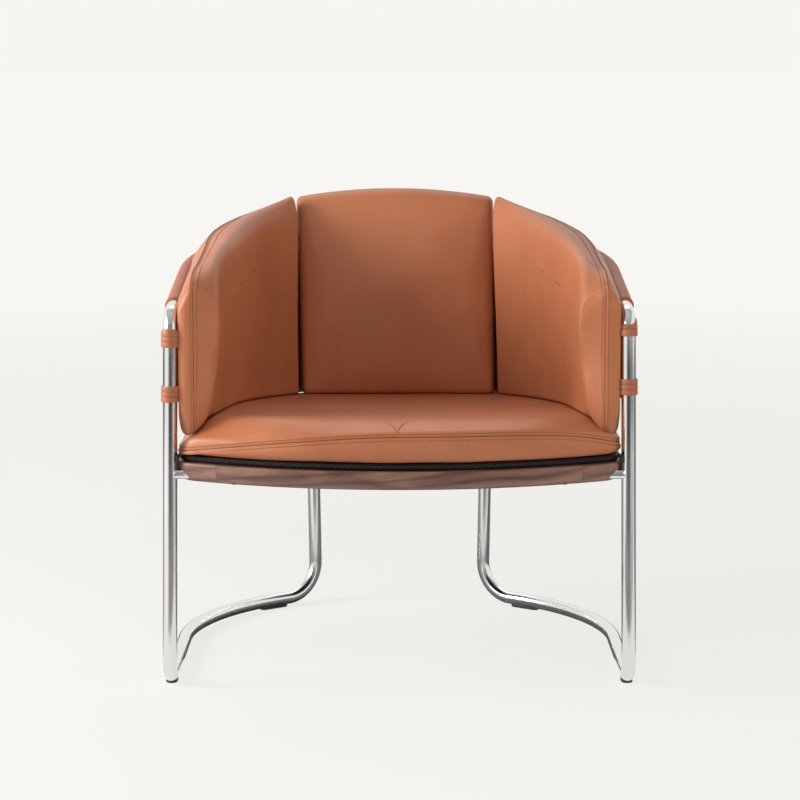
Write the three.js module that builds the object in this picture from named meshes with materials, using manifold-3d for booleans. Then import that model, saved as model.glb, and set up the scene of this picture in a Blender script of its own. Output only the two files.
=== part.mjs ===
// Barrel lounge chair in the equipale tradition: bent steel tube, walnut seat ring, leather, cushions.
// Millimetres, +Z up, +X to the right as seen from the front, -Y towards the front.
// Depths are counted from the plane of the front tubes; the whole chair is centred on its box at the end.
import * as THREE from 'three';
import { mergeVertices } from 'three/addons/utils/BufferGeometryUtils.js';
import Module from 'manifold-3d';

const wasm = await Module();
wasm.setup();

// Clearances and overruns
const gap = 0.3;              // between pieces that touch
const loose = 0.5;            // between a cushion and what it leans on
const overrun = 20;           // how far a cutter runs past the piece it cuts

// Steel frame
const tubeR = 11;             // bent frame tube
const tubeWall = 2;
const padStand = 3;           // floor to the underside of the tube
const railX = 347.5;          // half width between tube centres at the rail
const footX = 354.3;          // the same at the floor: the front tubes splay a little
const railArcDepth = 290;     // where the rail's back hoop begins, behind the front tubes
const railFrontH = 577;       // rail centre above the floor at the front tubes
const railBackH = 666.5;      // and at the middle of the back
const railBendR = 28;         // bend from the front tube into the rail
const jointH = 463;           // butt joint of rail and leg, under the lower strap
const frontFootR = 27;        // bend at the foot of the front tube
const runnerTurn = 54;        // degrees that the floor runner turns inwards
const runnerStraight = 10;    // straight bit between that curve and the rear bend
const rearFootR = 60;         // bend from the runner up into the rear leg
const rearFootX = 149;        // rear leg centre at the floor
const rearFootIn = 7;         // how far forward it stands there, from its place at the rail
const rearLegX = 160;         // rear leg centre where it meets the rail
const weldShort = 3;          // the leg's end stops this far under the rail's centre
const tubeSides = 12;
const boreSides = 8;
const railStep = 5;           // degrees between stations of the back hoop

// Joint ferrules inside the front tubes
const ferruleLength = 54;

// Cross tube and stubs under the seat ring
const crossR = 8;
const crossWall = 1.5;
const letIn = 0.6;            // between these tubes and their channels in the ring
const crossSink = 12;         // their centres lie so far above the ring's underside
const crossBow = 62;          // how far the front cross tube bows forward at its middle
const stubReach = 56;         // how far a rear stub runs in under the ring, past the rear leg

// Floor pads
const padLengths = { front: 30, rear: 56 };
const padWidth = 18;
const padLip = 5;             // how far a pad climbs the tube
const padStemR = 3;
const padStemH = 8;           // stem above the pad's lip, inside the tube

// Walnut seat ring
const ringX = 345;            // half width
const ringFront = 95;         // how far its front bows past the front tubes
const ringFrontR = 680;
const ringCornerR = 50;
const ringRearDepth = 255;    // centre of the round rear half
const ringTop = 352;
const ringHeight = 30;
const crossH = ringTop - ringHeight + crossSink;
const ringWidth = 43;
const ringRound = 28;         // quarter round of its lower outer edge
const ringEdge = 1.5;         // softened upper edges
const ringJointShares = [0.118, 0.382, 0.618, 0.882];   // joints round the outline, from the rear

// Rubber buffers between the ring's corners and the front tubes
const bufferWidth = 11;       // from the sling's rim towards the tube
const bufferDepth = 18;
const bufferHeight = 11;

// Ring screws
const screwR = 3;
const screwHeadR = 6;
const screwHeadH = 3;
const screwLength = 20;
const frontScrewX = 250;
const rearScrewIn = 40;       // from the rear leg's centre, forwards

// Seat sling: leather stretched over a flat hoop that lies on the ring
const hoopInset = 10;
const hoopWidth = 18;
const hoopHeight = 5;
const slingT = 2.8;
const slingSag = 32;
const laceWidth = 4;
const laceT = 1.1;
const laceRise = 6;           // lace centre above the ring

// Back shell of saddle leather
const shellX = 342;           // outer half width
const shellT = 4;
const shellRound = 335;       // outer half depth of its round back
const shellArcIn = 12;        // centre of that round, in front of the rail's
const shellLeanShare = 0.04;  // how far it leans back for each unit of height
const shellFront = 12;        // its front edge behind the tube centres
const shellLowH = 400;
const shellDipShare = 0.2;    // share of its length over which the lower edge comes down
const shellDip = 18;          // how far its lower edge falls towards the back
const shellCornerClear = 1;   // between its rounded upper corner and the rail's bend
const shellUnder = 3.5;       // gap between the arm wrap and the shell's top edge
const shellFrontLowH = 447;   // lower edge at the front tubes

// Arm wraps: leather sleeves round the rail
const wrapT = 2.5;
const wrapFront = 60;         // where they start, behind the front tubes
const wrapEndTurn = 20;       // degrees into the back hoop

// Straps
const strapT = 2.4;
const strapWidth = 26;
const strapTuck = 6;          // how far a front strap reaches back past the shell's front edge
const strapStarts = { left: [-17, -105], right: [0, -93] };  // lower ends, counted from the bend's start
const legStrapHeights = [592, 432];
const legStrapHalf = 15;      // half width of a leg strap's loop
const railStrapTurns = [40, 90, 140];    // degrees round the back hoop
const railStrapDrop = 20;     // how far a rail strap reaches down the shell

// Seat cushion
const seatX = 337;
const seatFront = 97;
const seatRear = 566;
const seatSeamH = 405;        // seam above the side panel at the middle of the front
const seatSeamCornerH = 384;  // and at the corners and sides
const seatTop = 425;          // top of its crown
const seatTopDepth = -40;     // where the crown is highest
const seatFallShare = 0.06;   // fall behind that for each unit of depth
const seatEdge = 3;           // drawn in at the seams
const seatUnder = 14;         // inset of the flat underside
const crownInsets = [9, 25, 57];
const crownShares = [0.45, 0.8, 1];

// Wing cushions
const wingX = 333.5;          // outer face
const wingFront = -10;        // front face, counted from the tube centres
const wingEndTurn = 52;       // degrees round the shell where it ends against the back cushion
const wingFrontTopH = 603;
const wingRise = 130;         // rise of its crest from the front to the back cushion
const wingRisePower = 0.46;
const wingCrest = 24;         // round of the crest, in from its inner face
const wingShoulder = 14;      // its outer edge above the top of the rail
const wingSlopeCrown = 5;     // crown of the slope between that edge and the crest
const wingSeam = 4;           // drawn in at the seams
const wingCrown = 6;          // crown of its inner face
const wingFoot = 14;          // rounding of its lower edges
const wingEndInset = 13;      // rounding of its two ends
const wingInner = [[281, -10], [277, 110], [257, 240], [220, 345], [171, 428]];
const wingLeanShare = 0.8;    // share of the back cushion's lean that its inner face takes up beside it
const wingLeanStartShare = 0.3;

// Back cushion
const backX = 163;            // half width of its face at the seat
const backTopX = 170;         // and near its top
const backFaceDepth = 430;    // face at the seat
const backLeanShare = 0.287;  // how far it leans back for each unit of height
const backRearX = 196;        // half width of its rear at the seat
const backRearSpread = 4;     // its rear is this much wider than its face near the top
const backClear = 4;          // behind it, to the shell and its straps
const backTopH = 745;
const backCornerDrop = 10;
const backCrown = 12;         // crown of its face
const backSeam = 4;
const backEdge = 14;          // rounding of its lower and upper edges
const backTopFlat = 30;       // inset of the top of its crown

const FRAME = { color: 0xb9b7b4, roughness: 0.28, metalness: 1 };
const SADDLE = { color: 0x3a2420, roughness: 0.45, metalness: 0 };
const STRAP = { color: 0xb4714f, roughness: 0.6, metalness: 0 };
const HIDE = { color: 0xb36a41, roughness: 0.5, metalness: 0 };
const WALNUT = { color: 0x7a5644, roughness: 0.5, metalness: 0 };
const RUBBER = { color: 0x2a282b, roughness: 0.7, metalness: 0 };
const SCREW = { color: 0x232226, roughness: 0.4, metalness: 0.8 };
const LACE = { color: 0xb9a38c, roughness: 0.7, metalness: 0 };
const HOOP = { color: 0x9a8468, roughness: 0.7, metalness: 0 };

const chair = new THREE.Group();
const V = (x, y, z) => new THREE.Vector3(x, y, z);
const rad = THREE.MathUtils.degToRad;
const mix = THREE.MathUtils.lerp;

function add(name, geometry, finish) {
  const mesh = new THREE.Mesh(geometry, new THREE.MeshStandardMaterial(finish));
  mesh.name = name;
  chair.add(mesh);
  return mesh;
}

// Solids to and from the boolean library
function solid(geometry) {
  const bare = geometry.clone();
  bare.deleteAttribute('normal');
  bare.deleteAttribute('uv');
  const merged = mergeVertices(bare);
  return new wasm.Manifold(new wasm.Mesh({
    numProp: 3,
    vertProperties: new Float32Array(merged.attributes.position.array),
    triVerts: new Uint32Array(merged.index.array),
  }));
}

function shaped(manifold) {
  const mesh = manifold.getMesh();
  const geometry = new THREE.BufferGeometry();
  geometry.setAttribute('position', new THREE.BufferAttribute(new Float32Array(mesh.vertProperties), 3));
  geometry.setIndex(new THREE.BufferAttribute(new Uint32Array(mesh.triVerts), 1));
  geometry.computeVertexNormals();
  return geometry;
}

const cut = (geometry, ...cutters) => (
  shaped(cutters.reduce((body, cutter) => body.subtract(solid(cutter)), solid(geometry)))
);

// A closed skin over rows of points: each row is a closed loop, the rows are capped or close on themselves
function skin(rows, closed = false) {
  const cols = rows[0].length;
  const position = rows.flat().flatMap((p) => [p.x, p.y, p.z]);
  const index = [];
  const last = closed ? rows.length : rows.length - 1;
  for (let r = 0; r < last; r += 1) {
    const next = (r + 1) % rows.length;
    for (let c = 0; c < cols; c += 1) {
      const a = r * cols + c;
      const b = r * cols + ((c + 1) % cols);
      const d = next * cols + c;
      const e = next * cols + ((c + 1) % cols);
      index.push(a, b, e, a, e, d);
    }
  }
  if (!closed) {
    [0, rows.length - 1].forEach((r, end) => {
      const centre = rows[r].reduce((sum, p) => sum.add(p), V(0, 0, 0)).divideScalar(cols);
      const tip = position.length / 3;
      position.push(centre.x, centre.y, centre.z);
      for (let c = 0; c < cols; c += 1) {
        const a = r * cols + c;
        const b = r * cols + ((c + 1) % cols);
        if (end === 0) index.push(tip, b, a);
        else index.push(tip, a, b);
      }
    });
  }
  const geometry = new THREE.BufferGeometry();
  geometry.setAttribute('position', new THREE.Float32BufferAttribute(position, 3));
  geometry.setIndex(index);
  return outward(geometry);
}

// Turns the faces of a closed geometry outwards
function outward(geometry) {
  const p = geometry.attributes.position;
  const index = geometry.index.array;
  let volume = 0;
  const corner = (i) => new THREE.Vector3().fromBufferAttribute(p, index[i]);
  for (let i = 0; i < index.length; i += 3) {
    volume += corner(i).dot(corner(i + 1).cross(corner(i + 2)));
  }
  if (volume < 0) {
    for (let i = 0; i < index.length; i += 3) [index[i + 1], index[i + 2]] = [index[i + 2], index[i + 1]];
  }
  geometry.computeVertexNormals();
  return geometry;
}

// A path of given points with one straight step between neighbours
class BentPath extends THREE.Curve {
  constructor(points) {
    super();
    this.points = points;
  }

  getPoint(t) {
    const s = t * (this.points.length - 1);
    const i = Math.min(Math.floor(s), this.points.length - 2);
    return this.points[i].clone().lerp(this.points[i + 1], s - i);
  }

  getPointAt(u) {
    return this.getPoint(u);
  }

  getTangent(t) {
    const last = this.points.length - 1;
    const i = Math.round(t * last);
    const before = i > 0 ? this.points[i].clone().sub(this.points[i - 1]).normalize() : V(0, 0, 0);
    const after = i < last ? this.points[i + 1].clone().sub(this.points[i]).normalize() : V(0, 0, 0);
    return before.add(after).normalize();
  }

  getTangentAt(u) {
    return this.getTangent(u);
  }
}

// Points along a polyline whose corners are bent to given radii
function bent(corners, radii, stepsPerTurn) {
  const points = [corners[0].clone()];
  for (let i = 1; i < corners.length - 1; i += 1) {
    const inward = corners[i - 1].clone().sub(corners[i]).normalize();
    const outwards = corners[i + 1].clone().sub(corners[i]).normalize();
    const turn = Math.PI - inward.angleTo(outwards);
    const reach = radii[i - 1] * Math.tan(turn / 2);
    const start = corners[i].clone().addScaledVector(inward, reach);
    const centre = corners[i].clone().addScaledVector(
      inward.clone().add(outwards).normalize(),
      radii[i - 1] / Math.cos(turn / 2),
    );
    const axis = new THREE.Vector3().crossVectors(outwards, inward).normalize();
    const steps = Math.max(2, Math.ceil((turn / Math.PI) * stepsPerTurn));
    for (let k = 0; k <= steps; k += 1) {
      points.push(start.clone().sub(centre).applyAxisAngle(axis, (turn * k) / steps).add(centre));
    }
  }
  points.push(corners[corners.length - 1].clone());
  return points;
}

const circle = (radius, sides, path = false) => {
  const outline = path ? new THREE.Path() : new THREE.Shape();
  for (let i = 0; i < sides; i += 1) {
    const a = (2 * Math.PI * i) / sides;
    const x = radius * Math.cos(a);
    const y = radius * Math.sin(a);
    if (i === 0) outline.moveTo(x, y);
    else outline.lineTo(x, y);
  }
  outline.closePath();
  return outline;
};

// A tube along points; its polygon's flats, not its corners, lie at the stated radius where it is a cutter
function tube(points, radius, wall = 0, sides = tubeSides, bore = boreSides) {
  const section = circle(radius, sides);
  if (wall > 0) section.holes.push(circle(radius - wall, bore, true));
  return new THREE.ExtrudeGeometry(section, {
    steps: points.length - 1,
    bevelEnabled: false,
    extrudePath: new BentPath(points),
  });
}

const flats = (radius, sides = tubeSides) => radius / Math.cos(Math.PI / sides);

// Centre line of the tubes
const footH = padStand + tubeR;
const railRiseShare = (railBackH - railFrontH) / (railArcDepth + railX);
const railH = (depth) => railFrontH + railRiseShare * depth;
const tubeX = (height) => mix(footX, railX, (height - footH) / (railFrontH - footH));

// Rail: front bend, straight arm, back hoop, arm and bend again
function railPoints(fromTurn = 0, toTurn = 180) {
  const points = [];
  const steps = (toTurn - fromTurn) / railStep;
  for (let i = 0; i <= steps; i += 1) {
    const a = rad(mix(fromTurn, toTurn, i / steps));
    const depth = railArcDepth + railX * Math.sin(a);
    points.push(V(railX * Math.cos(a), depth, railH(depth)));
  }
  return points;
}

const bendTurn = Math.PI / 2 - Math.atan(railRiseShare);
const bendStartH = railH(0) - railBendR * Math.tan(bendTurn / 2);

function railFrontBend(side) {
  const corner = V(side * railX, 0, railH(0));
  const below = V(side * tubeX(jointH), 0, jointH + gap / 2);
  const behind = V(side * railX, railArcDepth, railH(railArcDepth));
  return bent([below, corner, behind], [railBendR], 16).slice(0, -1);
}

const railLine = [...railFrontBend(1), ...railPoints(), ...railFrontBend(-1).reverse()];
add('top_rail', tube(railLine, tubeR, tubeWall), FRAME);

// Legs: front tube, floor runner and rear leg in one bent tube, coped to the rail at its rear end
const turnIn = rad(runnerTurn);
const rearTopDepth = railArcDepth + Math.sqrt(railX ** 2 - rearLegX ** 2);
const rearFootDepth = rearTopDepth - rearFootIn;
const legRun = (footX - rearFootX) / Math.sin(turnIn);
const planCornerDepth = rearFootDepth - legRun * Math.cos(turnIn);
const runnerArcReach = legRun - runnerStraight - rearFootR;
const runnerArcR = runnerArcReach / Math.tan(turnIn / 2);
const rearLegAt = (height) => {
  const share = (height - footH) / (railH(rearTopDepth) - footH);
  return V(mix(rearFootX, rearLegX, share), mix(rearFootDepth, rearTopDepth, share), height);
};

function legLine(side) {
  const corners = [
    V(side * tubeX(jointH), 0, jointH - gap / 2),
    V(side * footX, 0, footH),
    V(side * footX, planCornerDepth, footH),
    V(side * rearFootX, rearFootDepth, footH),
    V(side * rearLegX, rearTopDepth, railH(rearTopDepth) - weldShort),
  ];
  return bent(corners, [frontFootR, runnerArcR, rearFootR], 16);
}

// Pads: where they sit along the runner, and which way the runner heads there
const rearPadBack = 22;       // from the start of the rear bend, along the runner
const frontPadBack = 8;       // from the end of the front foot's bend
const padSpots = (side) => {
  const rearTurn = runnerArcReach - rearPadBack;
  return {
    front: { x: side * footX, depth: frontFootR + frontPadBack, heading: 0 },
    rear: {
      x: side * (footX - rearTurn * Math.sin(turnIn)),
      depth: planCornerDepth + rearTurn * Math.cos(turnIn),
      heading: side * turnIn,
    },
  };
};

function padSolid(spot, length, tubeCutter) {
  const outline = new THREE.Shape();
  const half = length / 2;
  const wide = padWidth / 2;
  outline.moveTo(-wide, -half + wide);
  outline.absarc(0, -half + wide, wide, Math.PI, 2 * Math.PI, false);
  outline.lineTo(wide, half - wide);
  outline.absarc(0, half - wide, wide, 0, Math.PI, false);
  const rise = { depth: padStand + padLip, bevelEnabled: false, curveSegments: 5 };
  const block = new THREE.ExtrudeGeometry(outline, rise);
  block.rotateZ(spot.heading);
  block.translate(spot.x, spot.depth, 0);
  const stem = new THREE.CylinderGeometry(padStemR, padStemR, padStand + padLip + padStemH, 10);
  stem.rotateX(Math.PI / 2);
  stem.translate(spot.x, spot.depth, (padStand + padLip + padStemH) / 2);
  return shaped(solid(block).subtract(solid(tubeCutter)).add(solid(stem)));
}

for (const [label, side] of [['left', -1], ['right', 1]]) {
  const line = legLine(side);
  const spots = padSpots(side);
  const stemHoles = Object.values(spots).map((spot) => {
    const hole = new THREE.CylinderGeometry(padStemR + gap, padStemR + gap, 2 * tubeR, 10);
    hole.rotateX(Math.PI / 2);
    return hole.translate(spot.x, spot.depth, padStand);
  });
  const railCutter = tube(railPoints(wrapEndTurn, 180 - wrapEndTurn), flats(tubeR + gap));
  add(`${label}_leg_tube`, cut(tube(line, tubeR, tubeWall), railCutter, ...stemHoles), FRAME);
  const legCutter = tube(line, flats(tubeR + gap));
  for (const [end, spot] of Object.entries(spots)) {
    add(`${label}_${end}_pad`, padSolid(spot, padLengths[end], legCutter), RUBBER);
  }
  // Ferrule inside the butt joint
  const boreR = (tubeR - tubeWall) * Math.cos(Math.PI / boreSides);
  const ferrule = [-ferruleLength / 2, ferruleLength / 2].map((rise) => (
    V(side * tubeX(jointH + rise), 0, jointH + rise)
  ));
  add(`${label}_frame_ferrule`, tube(ferrule, boreR - gap, 0, 10), SCREW);
}

// Cross tube under the front of the seat, coped to the front tubes
const crossEndX = tubeX(crossH);
const crossBowR = (crossEndX ** 2 + crossBow ** 2) / (2 * crossBow);
function crossPoints(halfX, steps = 16) {
  const points = [];
  for (let i = 0; i <= steps; i += 1) {
    const x = mix(halfX, -halfX, i / steps);
    points.push(V(x, -crossBow + crossBowR - Math.sqrt(crossBowR ** 2 - x ** 2), crossH));
  }
  return points;
}
const frontTubeCutters = [-1, 1].map((side) => tube(
  [crossH - overrun, ringTop + overrun].map((height) => V(side * tubeX(height), 0, height)),
  flats(tubeR + gap),
));
const crossSides = 12;

// Rear stubs, coped to the rear legs
const stubRoot = rearLegAt(crossH);
const rearTubeCutters = [-1, 1].map((side) => {
  const [low, high] = [rearLegAt(crossH - overrun), rearLegAt(crossH + overrun)];
  return tube([V(side * low.x, low.y, low.z), V(side * high.x, high.y, high.z)], flats(tubeR + gap));
});
const stubLine = (side) => [
  V(side * stubRoot.x, stubRoot.y, crossH),
  V(side * stubRoot.x, stubRoot.y - tubeR - stubReach, crossH),
];

// Ring screws: where each one stands
const crossDepthAt = (x) => -crossBow + crossBowR - Math.sqrt(crossBowR ** 2 - x ** 2);
const screwSpots = {
  left_front: [-frontScrewX, crossDepthAt(frontScrewX)],
  right_front: [frontScrewX, crossDepthAt(frontScrewX)],
  left_rear: [-stubRoot.x, stubRoot.y - rearScrewIn],
  right_rear: [stubRoot.x, stubRoot.y - rearScrewIn],
};
const screwHole = ([x, depth]) => {
  const hole = new THREE.CylinderGeometry(screwR + gap, screwR + gap, screwLength + 2 * screwHeadH, 10);
  hole.rotateX(Math.PI / 2);
  return hole.translate(x, depth, crossH - crossR + screwLength / 2);
};
const screwHoles = Object.values(screwSpots).map(screwHole);

add('front_cross_tube', cut(
  tube(crossPoints(crossEndX), crossR, crossWall, crossSides, 8),
  ...frontTubeCutters,
  ...screwHoles.slice(0, 2),
), FRAME);
[['left', -1, screwHoles[2]], ['right', 1, screwHoles[3]]].forEach(([label, side, hole], i) => {
  add(`${label}_rear_stub`, cut(
    tube(stubLine(side), crossR, crossWall, crossSides, 8),
    rearTubeCutters[i],
    hole,
  ), FRAME);
});

for (const [name, [x, depth]] of Object.entries(screwSpots)) {
  const headTop = crossH - crossR - gap;
  const profile = [
    [0, headTop - screwHeadH],
    [screwHeadR * 0.6, headTop - screwHeadH],
    [screwHeadR, headTop - screwHeadH / 2],
    [screwHeadR, headTop],
    [screwR, headTop],
    [screwR, headTop + screwLength],
    [0, headTop + screwLength],
  ].map(([r, z]) => new THREE.Vector2(r, z));
  const screw = new THREE.LatheGeometry(profile, 10);
  screw.rotateX(Math.PI / 2);
  screw.translate(x, depth, 0);
  add(`${name}_ring_screw`, screw, SCREW);
}

// Seat outline in plan, drawn in by an inset: rear half round, straight sides, round corners, bowed front
function outline(inset, halfX = ringX, front = ringFront, rear = ringRearDepth + ringX) {
  const cornerR = Math.max(ringCornerR - inset, gap);
  const frontR = ringFrontR - inset;
  const bowCentre = ringFrontR - front;
  const cornerX = halfX - inset - cornerR;
  const cornerDepth = bowCentre - Math.sqrt((frontR - cornerR) ** 2 - cornerX ** 2);
  const cornerTurn = Math.atan2(cornerX, bowCentre - cornerDepth);
  const roundX = halfX - inset;
  const roundDepth = rear - ringRearDepth - inset;
  const points = [];
  const arc = (cx, cy, rx, ry, from, to, steps) => {
    for (let i = 0; i < steps; i += 1) {
      const a = mix(from, to, i / steps);
      points.push(new THREE.Vector2(cx + rx * Math.cos(a), cy + ry * Math.sin(a)));
    }
  };
  const quarter = Math.PI / 2;
  arc(0, ringRearDepth, roundX, roundDepth, quarter, 2 * quarter, 9);
  arc(-cornerX, cornerDepth, cornerR, cornerR, 2 * quarter, 3 * quarter - cornerTurn, 4);
  arc(0, bowCentre, frontR, frontR, 3 * quarter - cornerTurn, 3 * quarter + cornerTurn, 14);
  arc(cornerX, cornerDepth, cornerR, cornerR, 3 * quarter + cornerTurn, 4 * quarter, 4);
  arc(0, ringRearDepth, roundX, roundDepth, 0, quarter, 9);
  return points;
}

const lift = (points, height) => points.map((p) => V(p.x, p.y, height));

// Walnut ring, sawn into four segments with glued butt joints
const ringSection = [
  [ringEdge, ringTop],
  [0, ringTop - ringEdge],
  [0, ringTop - ringHeight + ringRound],
];
const roundSteps = 5;
for (let i = 1; i <= roundSteps; i += 1) {
  const a = (Math.PI / 2) * (i / roundSteps);
  const height = ringTop - ringHeight + ringRound * (1 - Math.sin(a));
  ringSection.push([ringRound * (1 - Math.cos(a)), height]);
}
ringSection.push([ringWidth - ringEdge, ringTop - ringHeight], [ringWidth, ringTop - ringHeight + ringEdge]);
ringSection.push([ringWidth, ringTop - ringEdge], [ringWidth - ringEdge, ringTop]);
const ringLoops = ringSection.map(([inset, height]) => lift(outline(inset), height));
const ringStations = ringLoops[0].map((_, i) => ringLoops.map((loop) => loop[i]));
const ringBody = skin(ringStations, true);

// Channel for a tube let into the underside of the ring
function channel(points) {
  const steps = 8;
  const clear = flats(crossR + letIn, 2 * steps);
  const section = [new THREE.Vector2(overrun, clear), new THREE.Vector2(overrun, -clear)];
  for (let i = 0; i <= steps; i += 1) {
    const a = -Math.PI / 2 - (Math.PI * i) / steps;
    section.push(new THREE.Vector2(clear * Math.cos(a), clear * Math.sin(a)));
  }
  const rows = points.map((p, i) => {
    const before = points[Math.max(i - 1, 0)];
    const after = points[Math.min(i + 1, points.length - 1)];
    const along = after.clone().sub(before).normalize();
    const across = new THREE.Vector3().crossVectors(along, V(0, 0, 1)).normalize();
    return section.map((q) => (
      p.clone().addScaledVector(across, q.y).add(V(0, 0, -q.x))
    ));
  });
  return skin(rows);
}
const channels = [
  channel(crossPoints(crossEndX + overrun)),
  ...[-1, 1].map((side) => {
    const [root, tip] = stubLine(side);
    return channel([root, tip.clone().add(V(0, -gap, 0))]);
  }),
];

// Saw cuts that part the segments
const perimeter = ringLoops[0].length;
const sawCuts = ringJointShares.map((share) => {
  const i = Math.round(share * perimeter) % perimeter;
  const outer = ringLoops[1][i];
  const inner = ringLoops[ringLoops.length - 2][i];
  const saw = new THREE.BoxGeometry(ringWidth + overrun, gap, ringHeight + overrun);
  saw.rotateZ(Math.atan2(outer.y - inner.y, outer.x - inner.x));
  return saw.translate((outer.x + inner.x) / 2, (outer.y + inner.y) / 2, ringTop - ringHeight / 2);
});
const ringHoles = screwHoles;
let segments = solid(ringBody);
for (const cutter of [...channels, ...ringHoles, ...sawCuts]) segments = segments.subtract(solid(cutter));
const places = { front: [0, -1], rear: [0, 1], left: [-1, 0], right: [1, 0] };
const ringPieces = segments.decompose().map((piece) => {
  const box = piece.boundingBox();
  const middle = [(box.min[0] + box.max[0]) / 2, (box.min[1] + box.max[1]) / 2 - ringRearDepth];
  return { piece, middle };
});
for (const [place, [px, py]] of Object.entries(places)) {
  ringPieces.sort((a, b) => (b.middle[0] * px + b.middle[1] * py) - (a.middle[0] * px + a.middle[1] * py));
  add(`ring_${place}_segment`, shaped(ringPieces[0].piece), WALNUT);
}

// Seat hoop and the sling that wraps it
const hoopLow = ringTop + gap + slingT + gap;
const hoopTop = hoopLow + hoopHeight;
const slingTop = hoopTop + gap + slingT;
const hoopSection = [
  [hoopInset, hoopLow],
  [hoopInset + hoopWidth, hoopLow],
  [hoopInset + hoopWidth, hoopTop],
  [hoopInset, hoopTop],
];
const hoopLoops = hoopSection.map(([inset, height]) => lift(outline(inset), height));
add('sling_hoop', skin(hoopLoops[0].map((_, i) => hoopLoops.map((loop) => loop[i])), true), HOOP);

const seatCentre = new THREE.Vector2(0, ringRearDepth);
const slingEdge = hoopInset + hoopWidth + slingT;
const dish = (share) => slingSag * (1 - share ** 2);
// Rows from the middle of the upper face, over the rim and back to the middle of the lower face
function membraneRow(share, height) {
  const rim = outline(slingEdge);
  return rim.map((p) => {
    const q = p.clone().sub(seatCentre).multiplyScalar(share).add(seatCentre);
    return V(q.x, q.y, height - dish(share));
  });
}
const membraneShares = [0.03, 0.35, 0.7, 1];
const slingRows = [
  ...membraneShares.map((share) => membraneRow(share, slingTop)),
  lift(outline(hoopInset), slingTop),
  lift(outline(hoopInset - gap - slingT), slingTop - slingT),
  lift(outline(hoopInset - gap - slingT), ringTop + gap + slingT / 2),
  lift(outline(hoopInset - slingT / 2), ringTop + gap),
  lift(outline(hoopInset + hoopWidth), ringTop + gap),
  lift(outline(hoopInset + hoopWidth), ringTop + gap + slingT),
  lift(outline(hoopInset - gap), ringTop + gap + slingT),
  lift(outline(hoopInset - gap), hoopTop + gap),
  lift(outline(hoopInset + hoopWidth), hoopTop + gap),
  ...[...membraneShares].reverse().map((share) => membraneRow(share, slingTop - slingT)),
];
add('seat_sling', skin(slingRows), SADDLE);

// Lace band round the rim
const laceInset = hoopInset - gap - slingT - gap - laceT;
const laceH = ringTop + laceRise;
const laceSection = [
  [laceInset, laceH + laceWidth / 2],
  [laceInset, laceH - laceWidth / 2],
  [laceInset + laceT, laceH - laceWidth / 2],
  [laceInset + laceT, laceH + laceWidth / 2],
];
const laceLoops = laceSection.map(([inset, height]) => lift(outline(inset), height));
add('sling_lace', skin(laceLoops[0].map((_, i) => laceLoops.map((loop) => loop[i])), true), LACE);

// Buffers on the ring's corners, hollowed to fit the front tubes
for (const [label, side] of [['left', -1], ['right', 1]]) {
  const inner = outline(hoopInset - gap - slingT).reduce((x, p) => (
    Math.abs(p.y) < bufferDepth ? Math.max(x, p.x) : x
  ), 0);
  const block = new THREE.BoxGeometry(bufferWidth, bufferDepth, bufferHeight);
  block.translate(side * (inner + gap + bufferWidth / 2), 0, ringTop + gap + bufferHeight / 2);
  add(`${label}_ring_buffer`, cut(block, frontTubeCutters[side < 0 ? 0 : 1]), RUBBER);
}

// Back shell: plan curve by a share from one front edge round to the other
const shellArcDepth = railArcDepth - shellArcIn;
const lean = (height) => shellLeanShare * (height - shellLowH);
function shellPlan(share, inset, height) {
  const x = shellX - inset;
  const y = shellRound - inset;
  const centre = shellArcDepth + lean(height);
  const straight = centre - shellFront;
  const total = 2 * straight + Math.PI * x;
  const s = share * total;
  if (s < straight) return V(x, shellFront + s, height);
  if (s > total - straight) return V(-x, shellFront + (total - s), height);
  const a = (s - straight) / x;
  return V(x * Math.cos(a), centre + y * Math.sin(a), height);
}
const smooth = (t) => t * t * (3 - 2 * t);
function shellLow(share) {
  const t = THREE.MathUtils.clamp((0.5 - Math.abs(share - 0.5)) / shellDipShare, 0, 1);
  return mix(shellFrontLowH, shellLowH - shellDip, smooth(t));
}
const shellCornerR = railBendR - tubeR - shellCornerClear;
function shellHigh(depth) {
  const level = railH(depth) - tubeR - wrapT - shellUnder;
  const toBend = railBendR - depth;
  if (toBend < 0) return level;
  return Math.min(level, bendStartH + Math.sqrt(Math.max(shellCornerR ** 2 - toBend ** 2, 0)));
}
const shellColumns = 44;
const cornerShares = [0, 0.0025, 0.005, 0.0075, 0.01, 0.015];
const shellShares = [...cornerShares];
for (let i = 1; i < shellColumns; i += 1) shellShares.push(i / shellColumns);
shellShares.push(...cornerShares.map((share) => 1 - share).reverse());
const shellRows = [];
for (const share of shellShares) {
  const top = shellHigh(shellPlan(share, 0, shellLowH).y);
  const low = shellLow(share);
  const levels = [low, (low + top) / 2, top];
  shellRows.push([
    ...levels.map((height) => shellPlan(share, 0, height)),
    ...[...levels].reverse().map((height) => shellPlan(share, shellT, height)),
  ]);
}
const shellBody = skin(shellRows);

// Straps: each is a closed loop of leather round a tube and through the shell beside it
// Outline round a circle and out to two points beside it, tangent to the circle on both sides
function loopOutline(radius, first, second, steps = 12) {
  const tangent = (p, sign) => Math.atan2(p.y, p.x) + sign * Math.acos(radius / p.length());
  const from = tangent(first, 1);
  let to = tangent(second, -1);
  while (to < from) to += 2 * Math.PI;
  const points = [first];
  for (let i = 0; i <= steps; i += 1) {
    const a = mix(from, to, i / steps);
    points.push(new THREE.Vector2(radius * Math.cos(a), radius * Math.sin(a)));
  }
  points.push(second);
  return points;
}

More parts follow.
